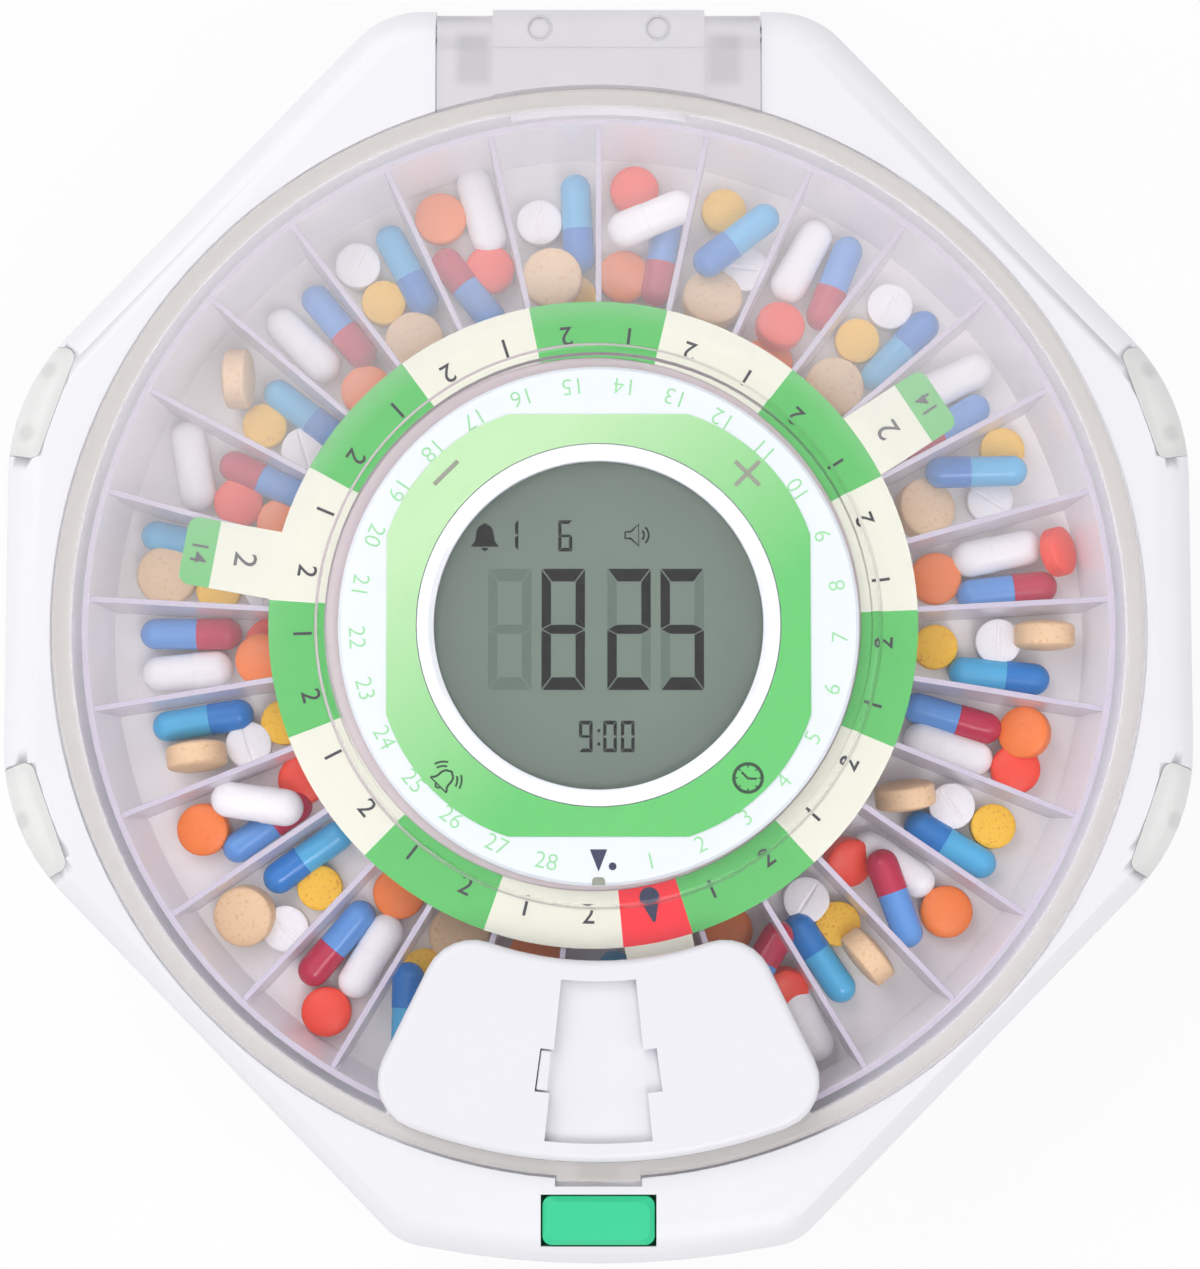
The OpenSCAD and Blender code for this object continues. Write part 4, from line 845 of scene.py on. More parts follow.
class DISPENSER_OT_tray(bpy.types.Operator):
    """Finishes the clear tray: floor, two walls and the dividers between its cups."""
    bl_idname = "dispenser.tray"
    bl_label = "Tray"

    def execute(self, context):
        carried("pill_tray", MATERIALS["tray_floor"])
        for node in ("tray_outer_wall", "tray_inner_wall"):
            carried(node, MATERIALS["tray"], bevel=0.2)
        carried("tray_dividers", MATERIALS["divider"], bevel=0.15)
        return {"FINISHED"}


class DISPENSER_OT_dosage_ring(bpy.types.Operator):
    """Makes the printed dosage ring: coloured doses, three tabs, numbers and the start mark."""
    bl_idname = "dispenser.dosage_ring"
    bl_label = "Dosage Ring"

    steps: IntProperty(name="Steps per dose", description="Straight edges of the ring in one dose",
                       default=6, min=2)
    tab_width: FloatProperty(name="Tab width", description="Width of a tab", default=12.6 * MM,
                             unit="LENGTH")
    tab_tip: FloatProperty(name="Tab tip", description="Length of a tab's green end", default=5.9 * MM,
                           unit="LENGTH")
    lag: FloatProperty(name="Lag", description="Angle by which the card sits off the cups",
                       default=math.radians(-0.9), subtype="ANGLE")
    play: FloatVectorProperty(name="Play", description="How far the loose card lies off the axis", size=2,
                              default=(-1.0 * MM, 0.7 * MM), unit="LENGTH")
    number_radius: FloatProperty(name="Number radius", description="Distance of the numbers from the axis",
                                 default=53.9 * MM, unit="LENGTH")
    mark_radius: FloatProperty(name="Mark radius", description="Distance of the start mark from the axis",
                               default=51.6 * MM, unit="LENGTH")
    lip_outer: FloatProperty(name="Lip radius", description="Outer radius of the tray's inner lip",
                             default=50.8 * MM, unit="LENGTH")
    lip_inner: FloatProperty(name="Lip bore", description="Inner radius of the tray's inner lip",
                             default=46.9 * MM, unit="LENGTH")

    def execute(self, context):
        sizes = context.scene.dispenser_sizes
        tab_end = 77.0 * MM
        outer = 60.0 * MM
        thick = CARD_TOP - CARD_FOOT
        ring = self.band(outer, sizes.ring_inner, CARD_FOOT, thick)
        # Two doses of each colour in turn, after the red start mark
        paint(ring, MATERIALS["green"], MATERIALS["cream"], MATERIALS["red"])
        for face in ring.data.polygons:
            angle = math.atan2(face.center.x, -face.center.y)
            position = round(angle / PITCH) % POSITIONS
            face.material_index = 2 if position == 1 else ((position - 2) % POSITIONS // 2) % 2
        parts = [ring]
        for position in TAB_POSITIONS:
            parts.append(self.tab(position, tab_end, outer, thick))
        card = joined(parts, "dosage_ring_card")
        card.rotation_euler = (0, 0, self.lag)
        self.shift(apply_place(card))
        smooth(card, 30)
        finish_piece(card, "carousel", "ring_card", "dosage_ring")

        prints = []
        for position in range(2, POSITIONS + 1):
            angle = position * PITCH + self.lag
            x, y = at(self.number_radius, angle)
            prints.append(lettering(str(1 + position % 2), sizes.ring_number / MM, (x, y, CARD_TOP), angle,
                                    MATERIALS["ink"], weight=0.03))
        for position in TAB_POSITIONS:
            angle = position * PITCH + self.lag
            for text, radius, size in TAB_PRINTS:
                x, y = at(radius, angle)
                prints.append(lettering(text, size, (x * MM, y * MM, CARD_TOP), angle,
                                        MATERIALS["ink"], weight=0.02))
        numbers = self.shift(joined(prints, "dosage_ring_numbers"))
        finish_piece(numbers, "carousel", "ring_card")

        # Start mark: a round head that runs out to a point
        head = round_points(0, 0, 1.85, 215, -35, 16)
        mark = turned(head + [(0.25, -4.6), (-0.25, -4.6)], math.degrees(PITCH + self.lag),
                      *at(self.mark_radius / MM, PITCH + self.lag))
        mark = self.shift(plate(mark, CARD_TOP, INK, MATERIALS["navy_ink"]))
        mark = named(mark, "dosage_ring_start_mark")
        finish_piece(mark, "carousel", "ring_card")

        # A flat taupe band between the card's bore and the hub: painted shade that stands for the shaded gap
        # by the tray's inner wall
        lip = self.band(self.lip_outer, self.lip_inner, CARD_FOOT + 0.02 * MM, 0.1 * MM)
        finish_piece(named(paint(lip, MATERIALS["lip"]), "tray_inner_lip"), "carousel",
                     SLOT_OF["tray_inner_wall"])
        return {"FINISHED"}

    def band(self, outer, inner, foot, thick):
        """A flat ring with as many straight edges as the cups need."""
        bpy.ops.mesh.primitive_circle_add(vertices=POSITIONS * self.steps, radius=outer, fill_type="NGON",
                                          location=(0, 0, foot))
        piece = apply_place(bpy.context.object)
        edit(piece, "FACE")
        bpy.ops.mesh.select_all(action="SELECT")
        bpy.ops.mesh.inset(thickness=outer - inner)
        bpy.ops.mesh.delete(type="FACE")
        bpy.ops.mesh.select_all(action="SELECT")
        bpy.ops.mesh.extrude_region_move(TRANSFORM_OT_translate={"value": (0, 0, thick)})
        leave_edit()
        outwards(piece)
        return piece

    def shift(self, piece):
        """Moves a piece of the card by the card's play."""
        piece.location = (self.play[0], self.play[1], 0)
        return apply_place(piece)

    def tab(self, position, tab_end, outer, thick):
        """A tab of the card, cream with a green end, with round outer corners."""
        bpy.ops.mesh.primitive_plane_add(size=1, location=(0, 0, 0))
        piece = bpy.context.object
        start = outer - 0.4 * MM
        piece.scale = (self.tab_width, tab_end - start, 1)
        piece.location = (0, -(tab_end + start) / 2, CARD_FOOT + 0.01 * MM)
        apply_place(piece)
        edit(piece)
        pick(piece, lambda co: co.y < -(tab_end + start) / 2)
        bpy.ops.mesh.bevel(affect="VERTICES", offset=2.0 * MM, segments=5)
        bpy.ops.mesh.select_all(action="SELECT")
        bpy.ops.mesh.bisect(plane_co=(0, self.tab_tip - tab_end, 0), plane_no=(0, 1, 0))
        bpy.ops.mesh.select_all(action="SELECT")
        bpy.ops.mesh.extrude_region_move(TRANSFORM_OT_translate={"value": (0, 0, thick - 0.02 * MM)})
        leave_edit()
        outwards(piece)
        paint(piece, MATERIALS["green"], MATERIALS["cream"], MATERIALS["red"])
        for face in piece.data.polygons:
            face.material_index = 0 if face.center.y < self.tab_tip - tab_end else 1
        piece.rotation_euler = (0, 0, position * PITCH)
        return apply_place(piece)


class DISPENSER_OT_hub(bpy.types.Operator):
    """Finishes the hub's cover and label, and prints the numbers and icons on it."""
    bl_idname = "dispenser.hub"
    bl_label = "Hub"

    number_radius: FloatProperty(name="Number radius", description="Distance of the numbers from the axis",
                                 default=44.5 * MM, unit="LENGTH")

    def execute(self, context):
        made = MATERIALS
        carried("hub_cover", made["hub"], bevel=0.1)
        carried("lcd_bezel", made["bezel"], bevel=0.1)
        carried("control_label", made["label"])
        size = context.scene.dispenser_sizes.hub_number / MM
        prints = []
        for position in range(1, POSITIONS):
            angle = position * PITCH
            x, y = at(self.number_radius, angle)
            prints.append(lettering(str(position), size, (x, y, FACE_Z), angle, made["pale_ink"],
                                    weight=-0.03))
        finish_piece(joined(prints, "hub_numbers"), "housing", "hub_white")
        start = plate([(-1.6, -41.2), (1.6, -41.2), (0, -45.3)], FACE_Z, INK, made["navy_ink"])
        dot = plate(round_points(2.55, -44.3, 0.72, 0, 345, 23), FACE_Z, INK, made["navy_ink"])
        finish_piece(joined([start, dot], "hub_start_mark"), "housing", "hub_white")
        key = plate(round_points(0.45, -47.0, 0.75, 90, 0, 4) + [(1.2, -47.75), (-1.2, -47.75)]
                    + round_points(-0.45, -47.0, 0.75, 180, 90, 4), FACE_Z, 0.04, made["grey_ink"])
        finish_piece(named(key, "hub_edge_mark"), "housing", "hub_white")
        minus = bar(-28.1, 28.0, 6.2, 0.85, math.radians(45), LABEL_Z, INK, made["grey_ink"])
        # One bar of the plus lies a little higher, so that no two faces lie in one plane
        plus = [bar(27.4, 27.9, 6.4, 0.8, math.radians(a), LABEL_Z + rise * MM, INK, made["grey_ink"])
                for a, rise in ((45, 0), (-45, 0.005))]
        finish_piece(joined([minus] + plus, "minus_and_plus_icons"), "housing", "label_green")

        dark = made["icon_ink"]
        clock = [stroke(round_points(*CLOCK_AT, 2.6, 0, 350, 35), 0.58, LABEL_Z, dark, closed=True),
                 stroke([(26.1, -27.1), (27.3, -28.3), (28.9, -28.35)], 0.42, LABEL_Z, dark)]
        for a in range(0, 360, 45):
            inner = round_points(*CLOCK_AT, 1.9, a, a, 1)[0]
            outer = round_points(*CLOCK_AT, 2.5, a, a, 1)[0]
            clock.append(stroke([inner, outer], 0.26, LABEL_Z, dark))
        bell = [stroke(turned(bell_points(0.78), -45, *ALARM_AT), 0.4, LABEL_Z, dark, closed=True),
                stroke(turned(round_points(0, -1.4, 0.5, 180, 360, 8), -45, *ALARM_AT), 0.36, LABEL_Z,
                       dark)]
        for reach in (2.5, 3.3):
            for start, end in ((15, 60), (120, 165)):
                arc = turned(round_points(0, 0, reach, start, end, 10), -45, *ALARM_AT)
                bell.append(stroke(arc, 0.36, LABEL_Z, dark))
        finish_piece(joined(clock + bell, "clock_and_alarm_icons"), "housing", "label_green")
        return {"FINISHED"}


# Segments lit for each figure, named from the top clockwise, with the middle one last
FIGURES = {"0": "abcdef", "1": "bc", "2": "abged", "3": "abgcd", "4": "fgbc", "5": "afgcd",
           "6": "afgecd", "7": "abc", "8": "abcdefg", "9": "abcdfg", " ": ""}
# Middles of the time's four figures across the display; their height on it, width, height, and
# the widths of their level and upright bars, all in millimetres
TIME_ACROSS = (-16.35, -6.5, 5.6, 15.4)
TIME_FIGURE = (-0.75, 8.0, 22.4, 2.35, 1.75)
# The small figures: middle, width, height and bars' widths as above, and the figure shown
SMALL_FIGURES = ((-16.1, 16.7, 2.6, 5.8, 0.7, 0.62, "1"), (-6.15, 16.55, 2.6, 5.8, 0.7, 0.62, "6"),
                 (-2.35, -20.5, 2.5, 5.8, 0.7, 0.6, "9"), (2.1, -20.5, 2.5, 5.8, 0.7, 0.6, "0"),
                 (5.35, -20.5, 2.5, 5.8, 0.7, 0.6, "0"))
# The speaker's cone, and the middle of the display's bell
CONE = ((4.9, 16.1), (5.9, 16.1), (7.4, 14.7), (7.4, 18.7), (5.9, 17.3), (4.9, 17.3))
BELL_AT = (-21.0, 16.3)


def segments(x, y, width, height, flat, upright, lit, foot, ghosts):
    """The mitred bars of one figure: lit ones, and unlit ones if ghosts is true."""
    gap = 0.07 * upright + 0.03
    w = width / 2
    h = height / 2
    mid = flat * 0.36
    top = [(gap - w, h), (w - gap, h), (w - upright - gap, h - flat), (upright + gap - w, h - flat)]
    left = [(-w, h - gap), (upright - w, h - flat - gap), (upright - w, mid + gap), (-w, gap)]
    bars = {"a": top, "d": [(px, -py) for px, py in top],
            "g": [(gap - w, 0), (upright - w, mid), (w - upright, mid), (w - gap, 0), (w - upright, -mid),
                  (upright - w, -mid)],
            "f": left, "b": [(-px, py) for px, py in left],
            "e": [(px, -py) for px, py in left], "c": [(-px, -py) for px, py in left]}
    ink = MATERIALS["ghost" if ghosts else "segment"]
    return [plate([(x + px, y + py) for px, py in outline], foot, 0.02, ink)
            for key, outline in bars.items() if (key in lit) != ghosts]


class DISPENSER_OT_display(bpy.types.Operator):
    """Makes the liquid crystal display: film, lit and unlit segments, bell, speaker and window."""
    bl_idname = "dispenser.display"
    bl_label = "Display"

    def execute(self, context):
        sizes = context.scene.dispenser_sizes
        made = MATERIALS
        carried("lcd_glass", made["display"])
        carried("lcd_window", made["window"], bevel=0.1)
        foot = GLASS_Z + 0.005 * MM
        text = "%2d%02d" % (sizes.hours, sizes.minutes)
        lit = []
        unlit = []
        for figure, x in zip(text, TIME_ACROSS):
            big = (x, *TIME_FIGURE, FIGURES[figure], foot)
            lit += segments(*big, False)
            unlit += segments(*big, True)
        for *small, figure in SMALL_FIGURES:
            lit += segments(*small, FIGURES[figure], foot, False)
        for y in (-19.4, -21.9):
            lit.append(bar(0.05, y, 0.55, 0.6, 0, foot, 0.02, made["segment"], tip=0.15))
        bell = turned(bell_points(1.0), 0, *BELL_AT)
        clapper = turned(round_points(0, -1.95, 0.62, 180, 360, 10), 0, *BELL_AT)
        lit.append(plate(bell, foot, 0.02, made["segment"]))
        lit.append(plate(clapper, foot, 0.02, made["segment"]))
        lit.append(stroke(CONE, 0.36, foot, made["segment"], closed=True, thick=0.03))
        for reach in (1.1, 1.95):
            arc = round_points(7.3, 16.7, reach, -48, 48, 8)
            lit.append(stroke(arc, 0.36, foot, made["segment"], thick=0.03))
        finish_piece(joined(lit, "display_lit_segments"), "housing", "lcd_grey")
        finish_piece(joined(unlit, "display_unlit_segments"), "housing", "lcd_grey")
        return {"FINISHED"}


class DISPENSER_OT_lid(bpy.types.Operator):
    """Finishes the clear lid as one moulding, with its frosted hinge bracket."""
    bl_idname = "dispenser.lid"
    bl_label = "Lid"

    def execute(self, context):
        lid = carried("lid", MATERIALS["lid"], suffix="ring")
        top = carried("lid_dome", MATERIALS["lid"], suffix="top")
        modify(lid, "BOOLEAN", operation="UNION", solver="EXACT", object=top)
        bpy.data.objects.remove(top)
        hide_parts("lid_dome")
        merge(lid, 0.005 * MM)
        smooth(named(lid, "lid_moulding"), 25)
        carried("hinge_bracket", MATERIALS["bracket"], bevel=0.3)
        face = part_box("hinge_bracket")[1].z
        # Grey rings round the bracket's two ejector dimples: the rims are real, their grey is painted shade
        rims = [stroke(round_points(side * MARK_AT[0], MARK_AT[1], 2.25, 0, 345, 23), 0.5,
                       face - 0.1 * MM, MATERIALS["bracket_shade"], closed=True, thick=0.16)
                for side in (-1, 1)]
        finish_piece(joined(rims, "hinge_bracket_ejector_rims"), "lid", "frosted_bracket")
        return {"FINISHED"}


class DISPENSER_OT_window(bpy.types.Operator):
    """Finishes the window cover and the shutter that slides in it."""
    bl_idname = "dispenser.window"
    bl_label = "Dispensing Window"

    def execute(self, context):
        carried("window_cover", MATERIALS["cover"], degrees=35)
        carried("shutter", MATERIALS["cover"], bevel=0.25)
        return {"FINISHED"}


class DISPENSER_OT_release(bpy.types.Operator):
    """Finishes the button that releases the lid."""
    bl_idname = "dispenser.release"
    bl_label = "Lid Release"

    near: FloatProperty(name="Corner reach", description="How far a corner's edges lie from its middle",
                        default=1.1 * MM, unit="LENGTH")
    slack: FloatProperty(name="Corner slack", description="How far a corner's edges may lie inside the roof",
                         default=0.05 * MM, unit="LENGTH")

    def execute(self, context):
        button = carried("press_button", MATERIALS["button"])
        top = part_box("press_button")[1].z
        roof = [vertex.co for vertex in button.data.vertices if vertex.co.z > top - 0.01 * MM]
        sides = [pick_end(co.x for co in roof) for pick_end in (min, max)]
        ends = [pick_end(co.y for co in roof) for pick_end in (min, max)]
        middle = sum(ends) / 2
        # Rounds the four upright corners one by one, then softens every edge
        for side in sides:
            for end in ends:
                edit(button)
                pick(button, lambda co: (abs(co.x - side) < self.near and abs(co.y - end) < self.near
                                         and abs(co.x) > abs(side) - self.slack
                                         and abs(co.y - middle) > abs(end - middle) - self.slack))
                bpy.ops.mesh.bevel(affect="EDGES", offset=1.6 * MM, segments=5)
                leave_edit()
        modify(button, "BEVEL", width=0.3 * MM, segments=2, limit_method="ANGLE",
               angle_limit=math.radians(30), use_clamp_overlap=True)
        smooth(button, 35)
        return {"FINISHED"}


def lathe(outline, name, *materials, steps=40):
    """A turned piece from an outline of radii and heights in millimetres, from foot to top."""
    piece = curve_mesh(name, [(radius * MM, 0, height * MM) for radius, height in outline], False,
                       dimensions="3D")
    edit(piece)
    bpy.ops.mesh.select_all(action="SELECT")
    bpy.ops.mesh.spin(steps=steps, angle=math.tau, center=(0, 0, 0), axis=(0, 0, 1))
    bpy.ops.mesh.select_all(action="SELECT")
    bpy.ops.mesh.remove_doubles(threshold=0.01 * MM)
    leave_edit()
    outwards(piece)
    return paint(piece, *materials)


def capsule(name, length, width, first, second):
    """A two-part capsule along Y: the wider cap of the first colour points towards +Y."""
    wide = width / 2
    slim = wide - 0.12
    reach = length / 2
    joint = 0.06 * length
    lower = [(slim * math.cos(a), slim * math.sin(a) - reach + slim)
             for a in (math.radians(d) for d in range(-90, 1, 10))]
    upper = [(wide * math.cos(a), wide * math.sin(a) + reach - wide)
             for a in (math.radians(d) for d in range(0, 91, 10))]
    outline = lower + [(slim, joint), (wide, joint + 0.06)] + upper
    piece = lathe(outline, name, first, second, steps=28)
    for face in piece.data.polygons:
        face.material_index = 0 if face.center.z > joint * MM else 1
    piece.rotation_euler = (math.radians(-90), 0, 0)
    return smooth(apply_place(piece), 50)


def tablet(name, width, thick, rim, material, score=False):
    """A round tablet with domed faces; a scored one has a groove across its top."""
    reach = width / 2
    half = thick / 2
    dome = [(reach * math.sin(a), rim / 2 + (half - rim / 2) * math.cos(a))
            for a in (math.radians(d) for d in range(0, 81, 10))]
    top = [(radius, height) for radius, height in reversed(dome)]
    side = [(reach, -rim / 2 * 0.92), (reach, rim / 2 * 0.92)]
    outline = [(radius, -height) for radius, height in dome] + side + top
    piece = lathe(outline, name, material, steps=36)
    if score:
        bpy.ops.mesh.primitive_cube_add(size=1, location=(0, 0, half * MM))
        cutter = bpy.context.object
        cutter.scale = (width * 1.1 * MM, 0.75 * MM, 0.75 * MM)
        cutter.rotation_euler = (math.radians(45), 0, 0)
        apply_place(cutter)
        modify(piece, "BOOLEAN", operation="DIFFERENCE", solver="EXACT", object=cutter)
        bpy.data.objects.remove(cutter)
    return smooth(piece, 38)


# Each dose: cup, kind, share of the way across the cup, distance from the axis in millimetres,
# turn in degrees about the upright, lean outwards, lean sideways, and height above its rest
LOAD = [
    (1, "orange", 0.4, 62, 0, 0, 0, 0), (1, "crimson", 0.3, 76, 0, 0, 0, 0),
    (1, "caplet", 0.7, 80, 0, 0, 0, 0),
    (2, "orange", 0.38, 61, 0, 0, 0, 0), (2, "crimson", 0.57, 69.8, -55, 0, 0, 4.7),
    (2, "red", 0.70, 75.8, 0, 25, 0, 1.5), (2, "caplet", 0.76, 82, 0, 0, 0, 0),
    (3, "blue", 0.267, 74, 0, 0, 0, 0), (3, "white", 0.56, 63.8, 20, 0, 0, 0),
    (3, "yellow", 0.687, 71, 0, 0, 0, 0), (3, "beige", 0.70, 79.1, 0, 0, 90, 0),
    (4, "red", 0.33, 63.8, 0, 25, 0, 1.5), (4, "caplet", 0.69, 70.8, 5, 0, 0, 0),
    (4, "crimson", 0.373, 74.8, -28, 0, 0, 3.6), (4, "orange", 0.64, 84.1, 0, 0, 0, 0),
    (5, "beige", 0.5, 65.4, 35, 0, 80, 0), (5, "blue", 0.26, 77.5, 0, 0, 0, 0),
    (5, "white", 0.66, 74.4, 60, 0, 0, 0), (5, "yellow", 0.66, 83.1, 0, 0, 0, 0),
    (6, "caplet", 0.287, 69.8, 0, 0, 0, 0), (6, "crimson", 0.68, 68.9, 177, 0, 0, 0),
    (6, "red", 0.307, 83.1, 0, 0, 0, 0), (6, "orange", 0.70, 82.9, 0, -25, 0, 1.6),
    (7, "yellow", 0.587, 64.1, 0, 0, 0, 0), (7, "blue", 0.28, 76.5, 180, 0, 0, 0),
    (7, "white", 0.667, 76, 0, 0, 0, 0), (7, "beige", 0.733, 84.5, 0, 0, 90, 0),
    (8, "orange", 0.52, 65.1, 0, 0, 0, 0), (8, "crimson", 0.25, 78.2, 180, 0, 0, 0),
    (8, "caplet", 0.687, 77.6, 0, 0, 0, 0), (8, "red", 0.573, 88.8, 0, 55, 0, 2.5),
    (9, "beige", 0.45, 66.5, 0, 20, 0, 1.5), (9, "white", 0.28, 79, 40, 0, 0, 0),
    (9, "yellow", 0.74, 85, 0, 0, 0, 0), (9, "blue", 0.62, 78, -22, 0, 0, 4.3),
    (10, "crimson", 0.25, 77.3, 0, 0, 0, 0), (10, "caplet", 0.63, 83, -10, 0, 0, 0),
    (10, "orange", 0.6, 64.5, 0, 0, 0, 0),
    (11, "beige", 0.5, 65.5, 0, 0, 0, 0), (11, "blue", 0.25, 79.5, 183, 0, 0, 0),
    (11, "yellow", 0.68, 75.3, 0, 0, 0, 0), (11, "white", 0.66, 84.4, 100, 0, 0, 0),
    (12, "orange", 0.45, 61.5, 0, 0, 0, 0), (12, "red", 0.55, 68.4, 0, 20, 0, 3.2),
    (12, "crimson", 0.28, 81.5, 12, 0, 0, 0), (12, "caplet", 0.71, 82, 0, 0, 0, 0),
    (13, "beige", 0.5, 68, 0, 15, 0, 0.8), (13, "yellow", 0.68, 85.4, 0, 0, 0, 0),
    (13, "white", 0.24, 76, 15, 0, 0, 0), (13, "blue", 0.45, 79.7, -33, 0, 0, 4.6),
    (14, "crimson", 0.24, 74, 0, 0, 0, 0), (14, "orange", 0.68, 69.4, 0, 0, 0, 0),
    (14, "caplet", 0.42, 80, -60, 0, 0, 5.4), (14, "red", 0.63, 86.2, 0, 0, 0, 0),
    (15, "blue", 0.24, 79.5, 0, 0, 0, 0), (15, "yellow", 0.33, 65.2, 0, 0, 0, 0),
    (15, "beige", 0.6, 68.5, 0, 0, 0, 4.3), (15, "white", 0.655, 80.4, 70, 0, 0, 0),
    (16, "crimson", 0.66, 71, 198, 0, 0, 0), (16, "red", 0.33, 73.5, 0, 0, 0, 0),
    (16, "caplet", 0.24, 85, 0, 0, 0, 0), (16, "orange", 0.67, 86, 0, 0, 0, 0),
    (17, "blue", 0.23, 79.3, 0, 0, 0, 0), (17, "yellow", 0.64, 76.2, 0, 0, 0, 0),
    (17, "white", 0.66, 84.9, 30, 0, 0, 0), (17, "beige", 0.58, 66.4, 0, 0, 0, 0),
    (18, "crimson", 0.22, 77.5, 0, 0, 0, 0), (18, "orange", 0.5, 64.4, 0, 12, 0, 1.0),
    (18, "caplet", 0.66, 79.5, 0, 0, 0, 0),
    (19, "blue", 0.27, 70, 0, 0, 0, 0), (19, "white", 0.66, 66.5, 50, 0, 0, 0),
    (19, "yellow", 0.66, 75.5, 0, 0, 0, 0), (19, "beige", 0.4, 84.3, 125, 0, 85, 0),
    (20, "crimson", 0.24, 70, 180, 0, 0, 0), (20, "orange", 0.68, 64, 0, 0, 0, 0),
    (20, "red", 0.62, 73.3, 0, 0, 0, 0), (20, "caplet", 0.42, 84, -57, 0, 0, 0),
    (21, "blue", 0.23, 79.7, 0, 0, 0, 0), (21, "yellow", 0.7, 73, 0, 0, 0, 0),
    (21, "beige", 0.62, 83, 0, 0, 0, 0), (21, "white", 0.6, 63.8, 0, 0, 0, 0),
    (22, "red", 0.36, 62.5, 0, 0, 0, 0), (22, "orange", 0.62, 63.8, 0, 12, 0, 4.9),
    (22, "crimson", 0.24, 77.5, 0, 0, 0, 0), (22, "caplet", 0.66, 78.4, 0, 0, 0, 0),
    (23, "yellow", 0.5, 62.1, 0, 0, 0, 0), (23, "blue", 0.24, 76.8, -3, 0, 0, 0),
    (23, "white", 0.66, 69.6, 0, 0, 0, 0), (23, "beige", 0.62, 79.4, -10, 0, 85, 0),
    (24, "red", 0.36, 62.5, 0, 0, 0, 0), (24, "crimson", 0.68, 72.5, 5, 0, 0, 0),
    (24, "caplet", 0.4, 71.8, -35, 0, 0, 5.6), (24, "orange", 0.37, 83.4, 0, 10, 0, 0.8),
    (25, "blue", 0.27, 69.3, 178, 0, 0, 0), (25, "yellow", 0.66, 71.3, 0, 0, 0, 0),
    (25, "beige", 0.36, 85.3, 0, 15, 0, 1.2), (25, "white", 0.74, 81.2, 0, 0, 0, 0),
    (26, "orange", 0.47, 61.8, 0, 0, 0, 0), (26, "crimson", 0.26, 76.5, 180, 0, 0, 0),
    (26, "caplet", 0.66, 74.5, 4, 0, 0, 0), (26, "red", 0.62, 87.8, 0, 0, 0, 0),
    (27, "blue", 0.36, 80, 25, 0, 0, 4.3), (27, "yellow", 0.3, 71.6, 0, 0, 0, 0),
    (27, "beige", 0.5, 62.5, 0, 0, 0, 0), (27, "white", 0.66, 85, 0, 0, 0, 0),
    (28, "orange", 0.6, 61.8, 0, 0, 0, 0), (28, "crimson", 0.3, 77, 180, 0, 0, 0),
    (28, "caplet", 0.68, 77, 0, 0, 0, 0), (29, "blue", 0.72, 69.5, 180, 0, 0, 0),
]


# Width, thickness and height of the straight rim of each round tablet, in millimetres
TABLETS = {"white": (8.75, 4.5, 2.9), "yellow": (8.5, 4.2, 2.7), "beige": (11.4, 5.7, 3.2),
           "orange": (9.9, 4.6, 2.2), "red": (9.4, 4.8, 2.2)}
# Outer width of a capsule in millimetres
CAPSULE_WIDTH = 6.1
# Length, width and thickness of the coated caplets, in millimetres
CAPLET = (17.5, 7.0, 5.6)


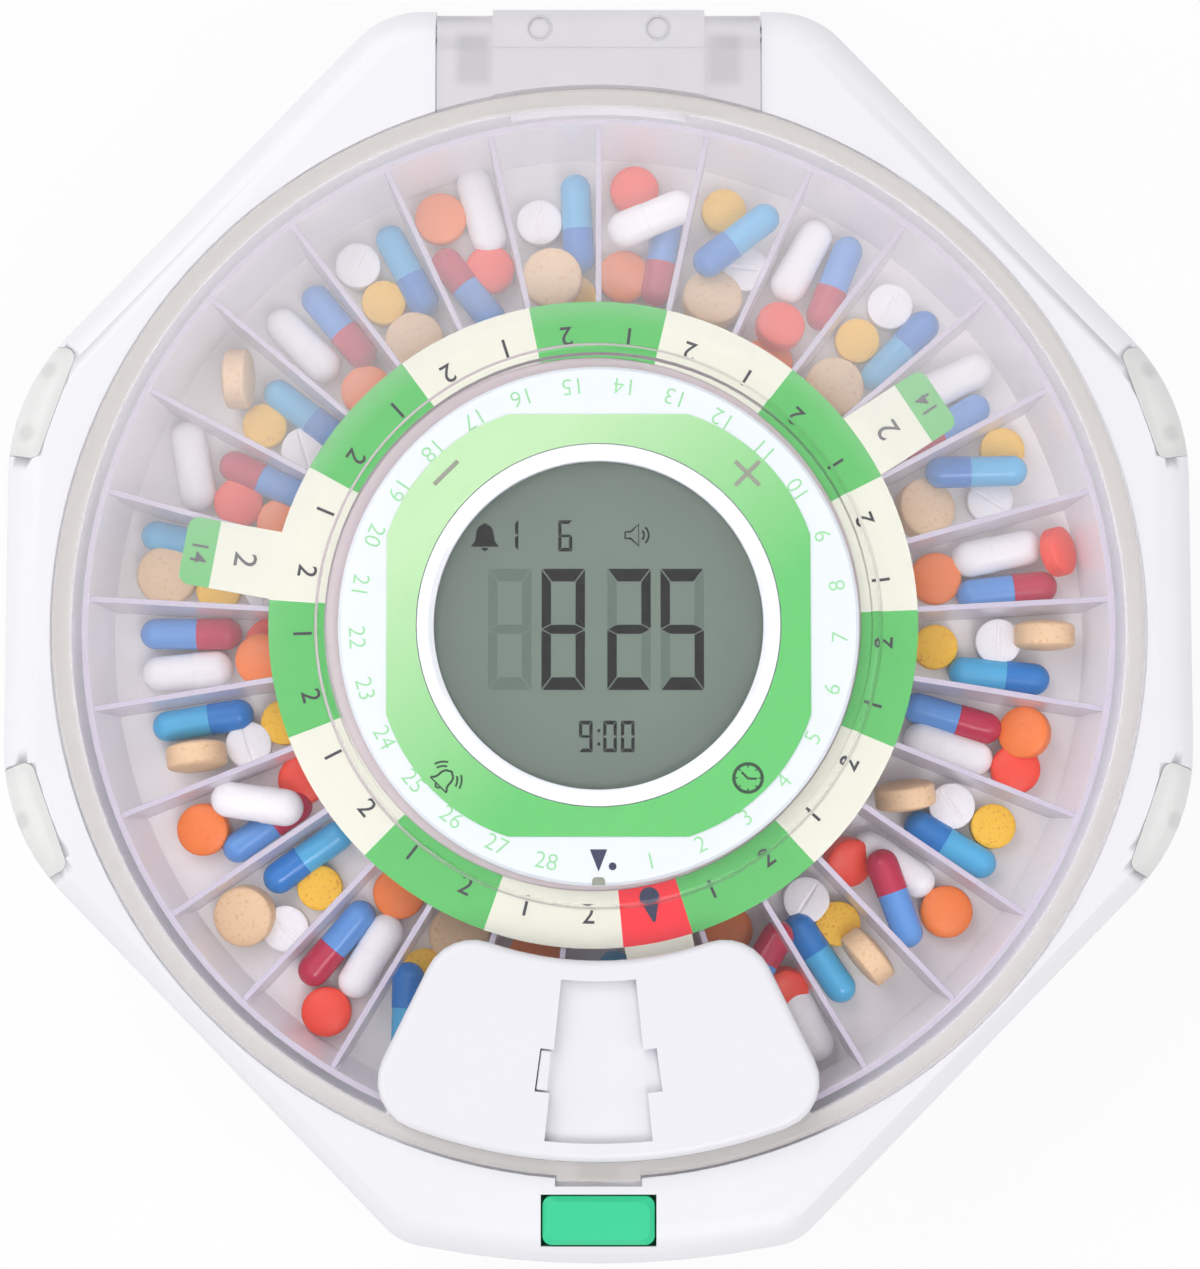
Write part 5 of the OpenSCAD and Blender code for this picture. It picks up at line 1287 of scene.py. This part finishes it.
class DISPENSER_OT_load(bpy.types.Operator):
    """Makes the load that the cups hold: two kinds of capsule and six of tablet."""
    bl_idname = "dispenser.load"
    bl_label = "Load"

    floor: FloatProperty(name="Cup floor", description="Height of the cups' floor above the table",
                         default=25.8 * MM, unit="LENGTH")

    def execute(self, context):
        for kind, (master, reach, half) in self.masters(context.scene.dispenser_sizes.capsule / MM).items():
            copies = []
            for cup, what, share, radius, turn, lean, side, lift in LOAD:
                if what != kind:
                    continue
                angle = (cup - 0.5 + share) * PITCH
                rest = half * abs(math.cos(math.radians(side))) + reach * abs(math.sin(math.radians(side)))
                x, y = at(radius, angle)
                copy = bpy.data.objects.new(master.name, master.data.copy())
                context.scene.collection.objects.link(copy)
                turns = (Matrix.Rotation(angle + math.radians(turn), 4, "Z")
                         @ Matrix.Rotation(math.radians(lean), 4, "X")
                         @ Matrix.Rotation(math.radians(side), 4, "Y"))
                height = self.floor + (rest + lift + 0.02) * MM
                copy.matrix_world = Matrix.Translation((x * MM, y * MM, height)) @ turns
                copies.append(copy)
            name = master.name
            bpy.data.objects.remove(master)
            piece = apply_place(joined(copies, name))
            finish_piece(named(piece, name), "carousel")
        return {"FINISHED"}

    def masters(self, length):
        """One dose of each kind, with half its width and half its thickness in millimetres."""
        made = MATERIALS
        kinds = {}
        for kind, first, second in (("blue", "dark_blue", "sky_blue"), ("crimson", "crimson", "pale_blue")):
            piece = capsule(kind + "_capsules", length, CAPSULE_WIDTH, made[first], made[second])
            kinds[kind] = (piece, CAPSULE_WIDTH / 2, CAPSULE_WIDTH / 2)
        for kind, (width, thick, rim) in TABLETS.items():
            piece = tablet(kind + "_tablets", width, thick, rim, made[kind + "_tablet"], kind == "white")
            kinds[kind] = (piece, width / 2, thick / 2)
        kinds["caplet"] = (self.caplet(made["caplet"]), CAPLET[1] / 2, CAPLET[2] / 2)
        return kinds

    def caplet(self, material):
        """A long coated tablet with round ends and a flat domed top and foot."""
        length, width, thick = CAPLET
        piece = capsule("caplets", length, width, material, material)
        piece.scale = (1, 1, thick / width)
        paint(apply_place(piece), material)
        for face in piece.data.polygons:
            face.material_index = 0
        return piece


STEPS = ("finishes", "housing", "works", "tray", "dosage_ring", "hub", "display", "lid", "window", "release",
         "load", "stage")


class DISPENSER_PT_panel(bpy.types.Panel):
    """Panel with the finishes, the sizes and each step of the build."""
    bl_idname = "DISPENSER_PT_panel"
    bl_label = "Pill Dispenser"
    bl_space_type = "VIEW_3D"
    bl_region_type = "UI"
    bl_category = "Dispenser"

    def draw(self, context):
        for group in (context.scene.dispenser_finishes, context.scene.dispenser_sizes):
            column = self.layout.column()
            for key in group.__annotations__:
                column.prop(group, key)
        column = self.layout.column()
        for step in STEPS:
            column.operator("dispenser." + step)


CLASSES = (DispenserFinishes, DispenserSizes, DISPENSER_OT_finishes, DISPENSER_OT_housing,
           DISPENSER_OT_works, DISPENSER_OT_tray, DISPENSER_OT_dosage_ring, DISPENSER_OT_hub,
           DISPENSER_OT_display, DISPENSER_OT_lid, DISPENSER_OT_window, DISPENSER_OT_release,
           DISPENSER_OT_load, DISPENSER_OT_stage, DISPENSER_PT_panel)


def register():
    for made in CLASSES:
        bpy.utils.register_class(made)
    bpy.types.Scene.dispenser_finishes = PointerProperty(type=DispenserFinishes)
    bpy.types.Scene.dispenser_sizes = PointerProperty(type=DispenserSizes)


def unregister():
    del bpy.types.Scene.dispenser_sizes
    del bpy.types.Scene.dispenser_finishes
    for made in reversed(CLASSES):
        bpy.utils.unregister_class(made)


def main():
    register()
    for step in STEPS:
        getattr(bpy.ops.dispenser, step)()


if __name__ == "__main__":
    main()
